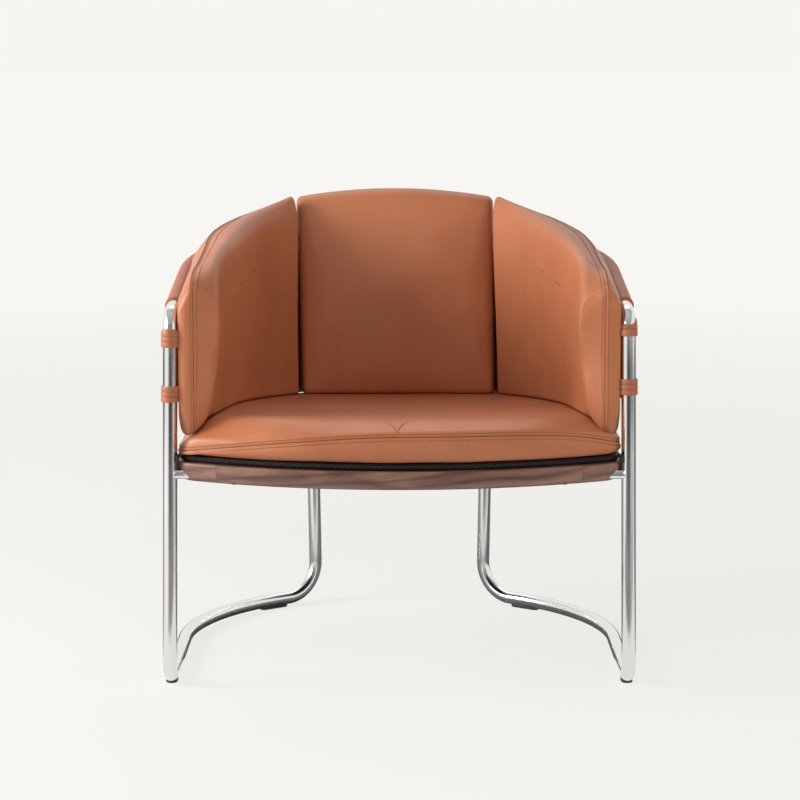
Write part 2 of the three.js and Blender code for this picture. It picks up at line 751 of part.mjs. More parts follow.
// The shell's faces lie at near and far beside the tube's centre, near being the more negative
// The strap passes through the shell at reach; clear grows the strap all round, for its slot
function strapBand(near, far, reach, stations, clear) {
  const point = (x, y) => new THREE.Vector2(x, y);
  const bare = flats(tubeR + gap);
  const inner = loopOutline(
    bare - clear,
    point(near - gap + clear, reach - clear),
    point(far + gap - clear, reach - clear),
  );
  const outer = loopOutline(
    bare + strapT + clear,
    point(near - gap - strapT - clear, reach + strapT + clear),
    point(far + gap + strapT + clear, reach + strapT + clear),
  );
  const place = (p, { at, u, v }) => at.clone().addScaledVector(u, p.x).addScaledVector(v, p.y);
  const rows = inner.map((p, i) => [
    ...stations.map((station) => place(p, station)),
    ...[...stations].reverse().map((station) => place(outer[i], station)),
  ]);
  return skin(rows, true);
}

const slotCutters = [];
function strap(name, near, far, reach, stationsFor) {
  add(name, strapBand(near, far, reach, stationsFor(0), 0), STRAP);
  slotCutters.push(strapBand(near, far, reach, stationsFor(gap), gap));
}

// Front straps: stations along the front tube, which bends back above bendStartH
function frontStation(side, s) {
  const a = Math.max(s, 0) / railBendR;
  const height = bendStartH + (s > 0 ? railBendR * Math.sin(a) : s);
  return {
    at: V(side * tubeX(height), railBendR * (1 - Math.cos(a)), height),
    u: V(side, 0, 0),
    v: V(0, Math.cos(a), -Math.sin(a)),
  };
}
for (const [label, side] of [['left', -1], ['right', 1]]) {
  ['upper', 'lower'].forEach((which, i) => {
    const start = strapStarts[label][i];
    const stations = (clear) => [0, 0.25, 0.5, 0.75, 1].map((share) => (
      frontStation(side, mix(start - clear, start + strapWidth + clear, share))
    ));
    const centreX = tubeX(bendStartH + Math.min(start + strapWidth / 2, 0));
    const reach = shellFront + strapTuck;
    strap(`${label}_${which}_strap`, shellX - shellT - centreX, shellX - centreX, reach, stations);
  });
}

// Leg straps: round the rear leg, their ends through the shell in front of it
const shellFaceTo = (facing, inset) => (
  1 / Math.hypot(Math.cos(facing) / (shellX - inset), Math.sin(facing) / (shellRound - inset))
);
for (const [label, side] of [['left', -1], ['right', 1]]) {
  ['upper', 'lower'].forEach((which, i) => {
    const height = legStrapHeights[i];
    const leg = rearLegAt(height);
    const centre = shellArcDepth + lean(height);
    const facing = Math.atan2(leg.y - centre, leg.x);
    const away = Math.hypot(leg.x, leg.y - centre);
    const reach = away - shellFaceTo(facing, shellT) + gap;
    const inwards = V(-side * Math.cos(facing), -Math.sin(facing), 0);
    const stations = (clear) => [-1, 1].map((end) => ({
      at: V(side * leg.x, leg.y, height + end * (strapWidth / 2 + clear)),
      u: V(-inwards.y, inwards.x, 0),
      v: inwards,
    }));
    strap(`${label}_leg_${which}_strap`, -legStrapHalf, legStrapHalf, reach, stations);
  });
}

// Rail straps: over the bare back of the rail and through the shell below it
railStrapTurns.forEach((turn, i) => {
  const a = rad(turn);
  const at = V(railX * Math.cos(a), railArcDepth + railX * Math.sin(a), 0);
  at.z = railH(at.y);
  const along = V(-Math.sin(a), Math.cos(a), 0);
  const out = V(Math.cos(a), Math.sin(a), 0);
  const reach = tubeR + wrapT + shellUnder + railStrapDrop;
  const level = at.z - reach;
  const plan = Math.hypot(at.x, at.y - shellArcDepth - lean(level));
  const near = shellFaceTo(a, shellT) - plan;
  const far = shellFaceTo(a, 0) - plan;
  const stations = (clear) => [-1, 0, 1].map((end) => {
    const turned = a + (end * (strapWidth / 2 + clear)) / railX;
    const spot = V(railX * Math.cos(turned), railArcDepth + railX * Math.sin(turned), 0);
    spot.z = railH(spot.y);
    return { at: spot, u: V(Math.cos(turned), Math.sin(turned), 0), v: V(0, 0, -1) };
  });
  strap(`rail_strap_${i + 1}`, near, far, reach, stations);
});
add('back_shell', cut(shellBody, ...slotCutters), SADDLE);

// Arm wraps round the rail, from behind the front bend into the back hoop
for (const [label, side] of [['left', -1], ['right', 1]]) {
  const arm = [V(railX, wrapFront, railH(wrapFront))];
  const hoop = railPoints(0, wrapEndTurn);
  const line = [...arm, ...hoop].map((p) => V(side * p.x, p.y, p.z));
  const sleeve = tube(line, flats(tubeR + gap) + wrapT, wrapT, tubeSides, tubeSides);
  add(`${label}_arm_wrap`, sleeve, STRAP);
}

// Seat cushion: underside, side panel between two seams, crown
const seatSink = slingTop + loose;
const seatTopAt = (depth) => seatTop - seatFallShare * (depth - seatTopDepth);
const seatOutline = (inset) => outline(inset, seatX, seatFront, seatRear);
const seamHeight = (p) => (
  mix(seatSeamH, seatSeamCornerH, p.y > ringCornerR ? 1 : Math.min((p.x / seatX) ** 2, 1))
);
const crownRow = (inset, share) => seatOutline(inset).map((p) => (
  V(p.x, p.y, mix(seamHeight(p), seatTopAt(p.y), share))
));
const innerCrown = crownInsets[crownInsets.length - 1];
const towardsMiddle = (row, share, height) => row.map((p) => {
  const q = p.clone().sub(seatCentre).multiplyScalar(share).add(seatCentre);
  return V(q.x, q.y, height(q));
});
add('seat_cushion', skin([
  towardsMiddle(seatOutline(seatUnder), 0.05, () => seatSink),
  lift(seatOutline(seatUnder), seatSink),
  lift(seatOutline(seatEdge), seatSink + seatEdge),
  seatOutline(0).map((p) => V(p.x, p.y, mix(seatSink, seamHeight(p), 0.35))),
  seatOutline(0).map((p) => V(p.x, p.y, mix(seatSink, seamHeight(p), 0.7))),
  seatOutline(seatEdge).map((p) => V(p.x, p.y, seamHeight(p))),
  ...crownInsets.map((inset, i) => crownRow(inset, crownShares[i])),
  ...[0.6, 0.3, 0.05].map((share) => towardsMiddle(seatOutline(innerCrown), share, (q) => seatTopAt(q.y))),
]), HIDE);

// Wing cushions: upright sections from the front face round to the back cushion
const backLow = seatTopAt(backFaceDepth - backCrown) + loose;
const innerCurve = new THREE.SplineCurve(wingInner.map(([x, depth]) => new THREE.Vector2(x, depth)));
const wingStraight = shellArcDepth - wingFront;
const wingLength = wingStraight + wingX * rad(wingEndTurn);
const wingOuterR = shellRound - (shellX - wingX);
function wingOuter(share) {
  const s = share * wingLength;
  if (s < wingStraight) return new THREE.Vector2(wingX, wingFront + s);
  const a = (s - wingStraight) / wingX;
  return new THREE.Vector2(wingX * Math.cos(a), shellArcDepth + wingOuterR * Math.sin(a));
}
function wingSection(share, inset) {
  const outer = wingOuter(share);
  const inner = innerCurve.getPoint(share);
  const across = inner.clone().sub(outer);
  const full = across.length();
  const thick = full - 2 * inset;
  across.normalize();
  const top = wingFrontTopH + wingRise * share ** wingRisePower - inset;
  const shoulder = Math.min(railH(outer.y) + tubeR + wingShoulder, top + inset - wingSeam / 2) - inset;
  const floor = Math.max(seatTopAt(outer.y), seatTopAt(inner.y)) + loose + inset;
  const crest = thick - wingCrest + inset;
  const round = 1 - Math.SQRT1_2;
  const slope = (q) => [
    mix(2 * wingSeam, crest, q),
    mix(shoulder, top - wingSeam / 2, q) + wingSlopeCrown * Math.sin(Math.PI * q),
  ];
  const profile = [
    [wingFoot, floor],
    [wingSeam / 2, floor + wingFoot],
    [0, mix(floor, shoulder, 0.5)],
    [wingSeam / 2, shoulder - 2 * wingSeam],
    [2 * wingSeam, shoulder],
    slope(0.35),
    slope(0.75),
    [crest, top - wingSeam / 2],
    [crest + wingSeam, top],
    [thick - round * wingCrest, top - round * wingCrest],
    [thick, top - wingCrest],
    [thick + wingCrown, mix(floor, top, 0.65)],
    [thick + wingCrown, mix(floor, top, 0.35)],
    [thick, floor + wingFoot],
    [thick - wingFoot, floor],
  ];
  const turning = THREE.MathUtils.clamp((share - wingLeanStartShare) / (1 - wingLeanStartShare), 0, 1);
  const tilt = wingLeanShare * backLeanShare * smooth(turning);
  return profile.map(([t, height]) => {
    const q = outer.clone().addScaledVector(across, inset + t);
    return V(q.x, q.y + (tilt * Math.max(height - backLow, 0) * (inset + t)) / full, height);
  });
}
const wingStations = [[0, wingEndInset], [0.006, wingEndInset / 2], [0.02, wingSeam / 2], [0.045, 0]];
for (let i = 1; i < 14; i += 1) wingStations.push([mix(0.045, 0.96, i / 14), 0]);
wingStations.push([0.96, 0], [0.985, wingSeam], [1, wingEndInset]);
for (const [label, side] of [['left', -1], ['right', 1]]) {
  const rows = wingStations.map(([share, inset]) => (
    wingSection(share, inset).map((p) => V(side * p.x, p.y, p.z))
  ));
  add(`${label}_wing_cushion`, skin(rows), HIDE);
}

// Back cushion: level sections from the seat cushion up to its crown
function backSection(height, inset) {
  const share = (height - backLow) / (backTopH - backLow);
  const face = backFaceDepth + backLeanShare * (height - backLow) + inset;
  const halfX = mix(backX, backTopX, share) - inset;
  const rearX = mix(backRearX, backTopX + backRearSpread, share ** 2) - inset;
  const rearR = shellRound - shellT - backClear;
  const rearY = (x) => (
    shellArcDepth + lean(height) + rearR * Math.sqrt(1 - (x / (shellX - shellT)) ** 2) - inset
  );
  const droop = (x) => backCornerDrop * share ** 6 * (x / backTopX) ** 2;
  const points = [];
  const across = (steps, from, to, depthAt) => {
    for (let i = 0; i <= steps; i += 1) {
      const x = mix(from, to, i / steps);
      points.push(V(x, depthAt(x), height - droop(x)));
    }
  };
  across(10, -halfX, halfX, (x) => face - backCrown * (1 - (x / halfX) ** 2) * (inset > 0 ? 0.4 : 1));
  points.push(V(mix(halfX, rearX, 0.5) + backSeam, mix(face, rearY(rearX), 0.5), height - droop(halfX)));
  across(8, rearX, -rearX, rearY);
  points.push(V(-mix(halfX, rearX, 0.5) - backSeam, mix(face, rearY(rearX), 0.5), height - droop(halfX)));
  return points;
}
const backLevels = [
  [0, backEdge], [0.02, backSeam], [0.08, 0], [0.25, 0], [0.45, 0], [0.65, 0], [0.82, 0],
  [0.93, backSeam / 2], [0.96, backSeam], [0.985, backEdge], [1, backTopFlat],
];
add('back_cushion', skin(backLevels.map(([share, inset]) => (
  backSection(mix(backLow, backTopH, share), inset)
))), HIDE);

// Centre the chair on its box, standing on the floor
const box = new THREE.Box3().setFromObject(chair);
chair.position.set(0, -(box.min.y + box.max.y) / 2, 0);

export default chair;
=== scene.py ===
"""Looks of a barrel lounge chair: bent steel tube, walnut seat ring, leather sling, shell and cushions.

Sizes are millimetres: x to the right, depth back from the plane of the front posts, height above the floor.
"""

import math

import bpy
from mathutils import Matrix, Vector, noise


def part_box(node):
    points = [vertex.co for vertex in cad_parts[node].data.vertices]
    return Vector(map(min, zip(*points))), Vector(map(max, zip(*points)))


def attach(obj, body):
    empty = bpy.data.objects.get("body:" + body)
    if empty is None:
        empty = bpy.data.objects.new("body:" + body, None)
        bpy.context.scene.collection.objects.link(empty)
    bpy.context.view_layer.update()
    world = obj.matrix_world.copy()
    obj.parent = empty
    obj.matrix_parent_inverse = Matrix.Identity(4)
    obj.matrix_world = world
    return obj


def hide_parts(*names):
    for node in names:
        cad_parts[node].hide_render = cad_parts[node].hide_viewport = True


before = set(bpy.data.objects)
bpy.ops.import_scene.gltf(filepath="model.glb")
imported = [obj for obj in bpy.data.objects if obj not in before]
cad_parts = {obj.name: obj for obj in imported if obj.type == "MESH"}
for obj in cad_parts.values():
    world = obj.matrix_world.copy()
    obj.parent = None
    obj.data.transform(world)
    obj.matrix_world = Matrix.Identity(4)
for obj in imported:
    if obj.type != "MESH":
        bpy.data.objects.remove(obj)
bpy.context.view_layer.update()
MM = 0.001

# Frame tube
TUBE_R = 11
PAD_STAND = 3
RAIL_X = 347.5
FOOT_X = 354.3
RAIL_ARC_DEPTH = 290
RAIL_FRONT_H = 577
RAIL_BACK_H = 666.5
RAIL_BEND_R = 28
JOINT_H = 463
JOINT_GAP = 0.3
FRONT_FOOT_R = 27
RUNNER_TURN = 54
RUNNER_STRAIGHT = 10
REAR_FOOT_R = 60
REAR_FOOT_X = 149
REAR_FOOT_IN = 7
REAR_LEG_X = 160
WELD_LENGTH = 6
WELD_SWELL = 2.2
WELD_CLEAR_SHARE = 0.55
WELD_SKIN = 0.05
WELD_STEPS = 8

# Cross tube and rear stubs
CROSS_R = 8
CROSS_H = 334
CROSS_BOW = 50
CROSS_STRAIGHT = 90
STUB_REACH = 56

# Foot pads
PAD_WIDTH = 18
PAD_LENGTHS = {"front": 30, "rear": 56}
PAD_BACKS = {"front": 8, "rear": 22}
PAD_LIP = 5
PAD_ROUND = 1.2
PAD_LIP_EASE = 1
PAD_LIP_INSETS = (0.4, 1.4)

# Walnut ring
RING_X = 345
RING_FRONT = 95
RING_FRONT_R = 680
RING_CORNER_R = 50
RING_REAR_DEPTH = 255
RING_TOP = 352
RING_HEIGHT = 30
RING_WIDTH = 43
RING_ROUND = 20
RING_EDGE = 2.5
RING_JOINT = 0.35
RING_JOINT_SHARES = (0.118, 0.382, 0.618, 0.882)
SMALLEST_R = 0.3

# Sling and its rolled rim
RIM_INSET = 7
RIM_WIDTH = 20
RIM_LOW = 352.4
RIM_TOP = 363.8
SLING_SAG = 32
SLING_T = 2.6
SLING_SHARES = (0.04, 0.15, 0.3, 0.45, 0.6, 0.75, 0.88, 0.96, 1.0)
SLING_UNDER_IN = 0.5
RIM_FALL_IN = 4
RIM_FALL = 0.6
RIM_CREST_IN = 3
RIM_TURN_UP = 1.5
LACE_H = 358.4
LACE_RISE = 2.1
LACE_PITCH = 9.6
LACE_R = 0.55
LACE_OUT = 0.4
LACE_BOW = 0.35
LACE_TUCK = 1.2
LACE_LIFT = 0.1

# Back shell
SHELL_X = 342
SHELL_ROUND = 335
SHELL_ARC_IN = 12
SHELL_LEAN_SHARE = 0.04
SHELL_T = 4
SHELL_FRONT = 12
SHELL_LOW_H = 400
SHELL_FRONT_LOW_H = 447
SHELL_DIP = 18
SHELL_DIP_SHARE = 0.2
SHELL_UNDER = 6
SHELL_SEAM_IN = 7
SHELL_TIP_R = 14
SHELL_BEND_CLEAR = 1
SHELL_END_SHARES = (0, 0.0004, 0.0012, 0.0025, 0.004, 0.006, 0.0085, 0.012, 0.016, 0.022)
SHELL_MIDDLE_SHARES = (0.028, 0.972)
SHELL_EDGE = ((SHELL_T / 2, 0), (0.7, 0.4), (0, 1.4), (0, 6))
SHELL_LEVEL_SHARES = (0.3, 0.6)
SHELL_STITCH = {"pitch": 6.2, "length": 4.4, "radius": 0.5}

# Wraps and straps
WRAP_R = 13.5
WRAP_FRONT = 60
WRAP_END_TURN = 20
WRAP_JOIN_DEPTH = 118
WRAP_LIP = ((0, -1.2), (0.3, -0.3), (1.0, 0.5), (2.0, 0.75), (3.4, 0.5), (4.4, 0.1), (6, 0))
WRAP_LIP_END = 8
WRAP_TAIL = ((3, 0.15), (1.5, 0.15), (0.6, -0.3), (0.1, -1.2))
WRAP_JOIN_RUNS = (-0.9, -0.4, 0, 0.4, 0.9)
WRAP_JOIN_CLEAR = 2
WRAP_JOIN_HALF = 0.5
WRAP_JOIN_SINK = 0.7
WRAP_JOIN_SIDE_SINK = 0.25
WRAP_WAVE = 0.14
WRAP_WAVE_SIZE = 22
WRAP_SEAM_SHARE = 0.55
WRAP_SEAM_LIFT = 0.1
WRAP_SEAM_HALF = 2.6
WRAP_STITCH = {"pitch": 5.4, "length": 3.6}
WRAP_RIDGE_R = 0.45
STRAP_T = 2.6
STRAP_WIDTH = 24.5
STRAP_TUCK = 6
STRAP_TURNS = 3
STRAP_STARTS = {-1: (-16, -100), 1: (1, -89)}
LEG_STRAP_HEIGHTS = (592, 432)
LEG_STRAP_HALF = 15
RAIL_STRAP_TURNS = (40, 90, 140)
RAIL_STRAP_DROP = 20
RAIL_STRAP_CLEAR = 6
STRAP_HUG = 0.4
STRAP_END_SHARE = 1.2
STRAP_EDGE_SHARES = ((0, 0.6), (0.04, 0.86), (0.12, 0.97), (0.5, 1), (0.88, 0.97), (0.96, 0.86), (1, 0.6))

# Seat cushion
SEAT_X = 338.6
SEAT_FRONT = 97
SEAT_REAR = 566
SEAT_LOW = 364.2
SEAT_SEAM_H = 405
SEAT_SEAM_DROPS = {-1: 36, 1: 24}
SEAT_SEAM_POWERS = {-1: 1.6, 1: 5}
SEAT_TOP = 425
SEAT_TOP_DEPTH = -40
SEAT_FALL_SHARE = 0.06
SEAT_SHOULDER = 58
SEAT_FRONT_SHOULDER_SHARE = 1.6
SEAT_SHOULDER_REACH = 280
SEAT_FRONT_POWER = 2.7
SEAT_SIDE_POWER = 1.25
SEAT_LEAST_X = 1
SEAT_POWER_FROM = 190
SEAT_POWER_REACH = 110
SEAT_SIT = 0.7
SEAT_PUFF = 7
SEAT_SIDE_PUFFS = {-1: 18, 1: 9}
SEAT_PUFF_REACH = 13
SEAT_SIDE_PUFF_REACH = 20
SEAT_SIDE_RISES = {-1: 2.3, 1: 1.0}
SEAT_SIDE_FROM = 215
SEAT_SIDE_REACH = 95
SEAT_SIDE_DEPTH = -14
SEAT_SIDE_FADE = 36
STITCH_ROW_RISE = 4.6
SEAT_SEAM_IN = 0.9
SEAT_UNDER_IN = 16
SEAT_UNDER_SHARES = (0.04, 0.3, 0.6, 0.85, 1.0)
SEAT_UNDER_EDGE = ((9, 0.6), (5, 2.6))
SEAT_BOX_RISE = 2
SEAT_BOX_ROWS = ((0.12, 2.2), (0.25, 0.2), (0.4, -1.2), (0.55, -1.6), (0.68, -1.2))
SEAT_SEAM_ROWS = (
    (-0.6, -8.0), (-0.2, -5.4), (0.2, -2.0), (SEAT_SEAM_IN, -0.1),
    (0.6, 1.9), (0.7, STITCH_ROW_RISE), (1.6, 6.8), (4.4, 8.6),
)
SEAT_CROWN_INSETS = (9, 13, 18, 24, 31, 39, 49, 61, 76, 92)
SEAT_TOP_IN = 100
SEAT_TOP_SHARES = (0.85, 0.7, 0.55, 0.4, 0.26, 0.13, 0.03)
SEAT_WAVE = 0.9
SEAT_WAVE_SIZE = 85
SEAT_FOLD_X = -4
SEAT_FOLD_GAP = 1.2
SEAT_FOLD_SPREAD = 19
SEAT_FOLD_START = 1.5
SEAT_FOLD_RUN = 44
SEAT_FOLD_POWERS = (1.7, 0.9)
SEAT_FOLD_SINK = 0.1
SEAT_FOLD_R = 0.6
SEAT_FOLD_END_R = 0.1
SEAT_FOLD_STEPS = 14

# Wing cushions
WING_X = 336.5
WING_FRONT = -10
WING_END_TURN = 54
WING_FRONT_TOP_H = 603
WING_FRONT_RISE = 45
WING_FRONT_RUN_SHARE = 0.2
WING_RISE = 91
WING_RISE_POWER = 1.08
WING_SHOULDER = 14
WING_PLAN = ((281, -10), (277, 110), (257, 240), (220, 345), (169, 428))
WING_NOSE = 62
WING_CROWN = 9
WING_BOX = 24
WING_BOX_SHARES = (0.8, 1.6)
WING_BOX_ROW_SHARES = (0.0, 0.05, 0.15, 0.28, 0.42, 0.56, 0.7, 0.82)
WING_BOX_BULGE = 2.6
WING_BOX_END = 6
WING_REAR_BOX = 14
WING_BOX_GROWTH = 0.04
WING_ROLL = 15
WING_ROLL_SHARES = (0.02, 0.2)
WING_TAPER = 9
WING_TAPER_REACH = 160
WING_TIP_DROP = 8
WING_TIP_ROUND = 60
WING_TIP_REACH = 60
WING_LOW_ROUND = 20
WING_LOW_ROUND_REACH = 90
WING_TOP_ROUNDS = (40, 30)
WING_REAR_ROUND = 13
WING_TOP_SINK = 4
WING_OUTER = {"start": 24, "stop": 14, "end": 1, "front": 5, "front_rs": (30, 24), "rear_rs": (12, 16)}
WING_OUTER_RISES = (16, 12)
WING_OUTER_RISE_REACH = 300
WING_OUTER_DROP = 3
WING_OUTER_INSETS = (40, 18, 8, 3)
WING_INNER = {"start": 14, "stop": 16, "end": 0, "front": 0, "front_rs": (48, 20), "rear_rs": (10, 5)}
WING_INNER_RISE = 1.5
WING_INNER_INSETS = (1.6, 4.0, 7.0, 11, 15, 20, 26, 33, 41, 51, 64)
WING_SEAM_ROWS = ((4.4, -0.4), (1.9, -0.2), (0, 2.0))
WING_SHELL_GAP = 0.3
WING_DOME_START = 0.6
WING_DOME_POWER = 2.1
WING_CROWN_POWER = 1.4
WING_FOLD = 0.6
WING_FOLD_PLACE = 7
WING_REAR_LEAN = 4
WING_LEAN = 0.8
WING_LEAN_START = 0.3
SPINE_IN = 70
SHRINK_SHARE = 0.8

# Back cushion
BACK_X = 164
BACK_TOP_X = 171
BACK_REAR_X = 196
BACK_FACE_DEPTH = 430
BACK_LEAN_SHARE = 0.287
BACK_TOP_H = 745
BACK_CORNER_DROP = 15
BACK_CROWN = 19
BACK_ROUND = 17
BACK_SIT = 0.6
BACK_CORNER_R = 12
BACK_FRONT_SINK = 7
BACK_FRONT_DROP = 3
BACK_FACE_SHIFT = 3
BACK_FACE_INSETS = (0, 0.8, 2.4, 4.8, 8, 12, 17, 24, 33, 44, 57)
BACK_MIDDLE_IN = 60
BACK_REAR_GAP = 4.5
BACK_REAR_IN = 8
BACK_REAR_SINK = 4
BACK_REAR_DROP = 20
BACK_REAR_INSETS = (60, 30, 12, 4)
BACK_REAR_SHARE = 0.95
BACK_BOX_IN = 3
BACK_BOX_ROW_SHARES = (0.0, 0.1, 0.25, 0.4, 0.55, 0.7, 0.83, 0.93)
BACK_CROWN_REACH = 40
BACK_CROWN_POWERS = (2.4, 2.6)
BACK_CROWN_SHARES = (0.35, 0.4)
BACK_FOLD = 1.3
BACK_FOLD_REACH = 30
BACK_FOLD_PLACE = 31

# Stitches, seams and the soft unevenness of hide over foam
STITCH_PITCH = 4.7
STITCH_LENGTH = 2.1
STITCH_R = 0.65
SEAM_R = 0.7
STITCH_SHARES = ((0, -0.8, 0.7), (0.16, 0.05, 1), (0.5, 0.18, 1.05), (0.84, 0.05, 1), (1, -0.8, 0.7))
FOLD_SIZE = 95
FOLD_SHIFT = 400
FOLD_FINE_RATIO = 2.3
PUCKER = 0.45
PUCKER_START = 3
PUCKER_REACH = 9
PUCKER_SIZE = 6.5
WAVE_SHARE = 0.9
WAVE_REACH = 30
WAVE_SIZE = 24
TINY = 1e-6

# How far the loose cushions have slid to the left, at the seat and at the top
SWAY_LOW = 1.7
SWAY_TOP = 8.6
SWAY_DEPTHS = (200, 430)

# Camera, as fitted to the picture
CAMERA_BACK = 3560
CAMERA_H = 950
CAMERA_PITCH = 6.87
CAMERA_LENS = 106.2
CAMERA_SENSOR = 36
CAMERA_SHIFTS = (0.0008, -0.06)

# Depths of surface texture, in metres
GRAIN_DEPTH = 0.0003
PORE_DEPTH = 0.00012
CREASE_DEPTH = 3 * PORE_DEPTH
LINE_DEPTH = 0.00005
GRIT_DEPTH = 0.0001
WOOD_PORE_DEPTH = 0.00015

# Studio: floor, glow, cards and lamps, in metres and degrees
PAPER = (0.93, 0.913, 0.88)
FILL = (1.0, 0.985, 0.96)
FILL_STRENGTH = 0.08
FLOOR_HALF = 400
CAMERA_FAR = 1000
GLOW_REACH = (1.0, 6.0)
GLOW_STRENGTHS = (0.985, 1.17)
GLOW_SHARE = 0.85
CARD_LIFT = 0.004
AHEAD_CARD_LIFT = 0.006
AHEAD_CARD_LEFT = (-0.354, -0.38)
AHEAD_CARD_RIGHT = (0.354, 0.42)
AHEAD_CARDS = (
    ("near_card", (0.3, 0.95), (0.26, 0.26, 0.265)),
    ("middle_card", (0.95, 2.0), (0.13, 0.135, 0.145)),
    ("far_card", (2.0, 9.0), (0.035, 0.038, 0.045)),
)
CEILING_H = 3.2
CARDS = (
    ("grey_card", ((-0.21, -0.58), (4, -0.58), (9, -6.6), (2.5, -6.6)), (0.5, 0.495, 0.49), CARD_LIFT, 0),
    ("ceiling_card", ((-3, -5), (3, -5), (3, 1.5), (-3, 1.5)), (0.27, 0.27, 0.28), CEILING_H, 1),
    ("wall_card", ((-5, -6.5, 0.6), (5, -6.5, 0.6), (5, -6.5, 5), (-5, -6.5, 5)), (0.22, 0.22, 0.23), 0, 1),
    ("rear_card", ((-6, -0.12), (6, -0.12), (6, 8), (-6, 8)), (0.22, 0.215, 0.21), CARD_LIFT, 0),
)
LAMP_AIM = (0, 0, 0.5)
LAMPS = (
    ("key", 79, 19, 3.0, (1.1, 1.4), 96),
    ("left_front", 55, 20, 3.0, (1.0, 1.2), 14),
    ("right_fill", -54, 9, 3.2, (1.5, 1.5), 31),
    ("front_high", 0, 43, 3.0, (2.0, 1.2), 25),
    ("top_rear", 180, 56, 2.5, (2.4, 1.0), 12),
)
UNREFLECTED_LAMPS = ("right_fill", "front_high")

SIDES = (("left", -1), ("right", 1))

# The front posts' plane in the row frame, from the rail that the model already holds
FRONT_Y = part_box("top_rail")[0][1] / MM + TUBE_R


def place(p):
    return Vector((p[0], p[1] + FRONT_Y, p[2])) * MM


def mix(a, b, t):
    return a + (b - a) * t


def clamp(v, low=0.0, high=1.0):
    return max(low, min(high, v))


def smooth(t):
    t = clamp(t)
    return t * t * (3 - 2 * t)


def ripple(x, y, z, size):
    return noise.noise(Vector((x / size, y / size, z / size)))

# Materials


def new_material(name):
    material = bpy.data.materials.new(name)
    material.use_nodes = True
    tree = material.node_tree
    return material, tree, tree.nodes["Principled BSDF"]


def put(tree, node, **values):
    """Sets a node's inputs, or links them where a value is a socket; other names are its own settings."""
    for key, value in values.items():
        socket = key.replace("_", " ")
        if socket not in node.inputs:
            setattr(node, key, value)
        elif isinstance(value, bpy.types.NodeSocket):
            tree.links.new(value, node.inputs[socket])
        else:
            node.inputs[socket].default_value = value
    return node


def add_node(tree, kind, **values):
    return put(tree, tree.nodes.new(kind), **values)


def feed(tree, node, *sources, first=0):
    """Links sources to a node's inputs by their place."""
    for i, source in enumerate(sources, first):
        tree.links.new(source, node.inputs[i])
    return node


def texture_place(tree, kind):
    return tree.nodes.new("ShaderNodeTexCoord").outputs[kind]


def noisy(tree, vector, scale, detail, roughness=0.5, **values):
    return add_node(
        tree, "ShaderNodeTexNoise", Vector=vector, Scale=scale, Detail=detail, Roughness=roughness, **values,
    )


def ramp(tree, source, *stops):
    node = add_node(tree, "ShaderNodeValToRGB", Fac=source)
    elements = node.color_ramp.elements
    while len(elements) < len(stops):
        elements.new(0.5)
    for element, (at, colour) in zip(elements, stops):
        element.position = at
        element.color = (*colour, 1)
    return node.outputs["Color"]


def ranged(tree, source, low, high):
    return add_node(tree, "ShaderNodeMapRange", Value=source, To_Min=low, To_Max=high).outputs["Result"]


def multiplied(tree, base, over, share):
    node = add_node(tree, "ShaderNodeMix", data_type="RGBA", blend_type="MULTIPLY", Factor=share)
    return feed(tree, node, base, over, first=6).outputs[2]


def bump_chain(tree, shader, *layers):
    """Adds height sources one over another: (socket, strength, distance)."""
    normal = None
    for height, strength, distance in layers:
        node = add_node(tree, "ShaderNodeBump", Height=height, Strength=strength, Distance=distance)
        if normal is not None:
            put(tree, node, Normal=normal)
        normal = node.outputs["Normal"]
    put(tree, shader, Normal=normal)


def leather(name, colour, shade, rough, pore=850.0, gloss=0.5):
    material, tree, shader = new_material(name)
    coords = texture_place(tree, "Object")
    cloud = noisy(tree, coords, 7.0, 4.0, 0.55)
    fine = noisy(tree, coords, 160.0, 3.0, 0.6).outputs["Fac"]
    cell = add_node(tree, "ShaderNodeTexVoronoi", Vector=coords, Scale=pore, feature="SMOOTH_F1")
    warp = add_node(tree, "ShaderNodeMix", data_type="VECTOR", Factor=0.04)
    feed(tree, warp, coords, cloud.outputs["Color"], first=4)
    crease = add_node(
        tree, "ShaderNodeTexVoronoi", Vector=warp.outputs[1], Scale=pore / 3.2, feature="DISTANCE_TO_EDGE",
    )
    tone = ramp(tree, cloud.outputs["Fac"], (0.3, shade), (0.62, colour))
    specks = ramp(tree, fine, (0.3, (0.72,) * 3), (0.6, (1,) * 3))
    put(
        tree, shader, Base_Color=multiplied(tree, tone, specks, 0.22),
        Roughness=ranged(tree, fine, *rough), Specular_IOR_Level=gloss,
    )
    bump_chain(
        tree, shader, (fine, 0.25, GRAIN_DEPTH), (crease.outputs["Distance"], 0.35, CREASE_DEPTH),
        (cell.outputs["Distance"], 0.4, PORE_DEPTH),
    )
    return material


def steel():
    material, tree, shader = new_material("satin_steel")
    coords = texture_place(tree, "UV")
    stretch = add_node(tree, "ShaderNodeMapping", Vector=coords, Scale=(6.0, 900.0, 1.0))
    lines = noisy(tree, stretch.outputs["Vector"], 1.0, 5.0, 0.6).outputs["Fac"]
    cloud = noisy(tree, coords, 14.0, 2.0).outputs["Fac"]
    tone = ramp(tree, lines, (0.25, (0.76, 0.76, 0.765)), (0.75, (0.88, 0.88, 0.88)))
    put(tree, shader, Base_Color=tone, Roughness=ranged(tree, cloud, 0.11, 0.19), Metallic=1.0)
    bump_chain(tree, shader, (lines, 0.08, LINE_DEPTH))
    return material


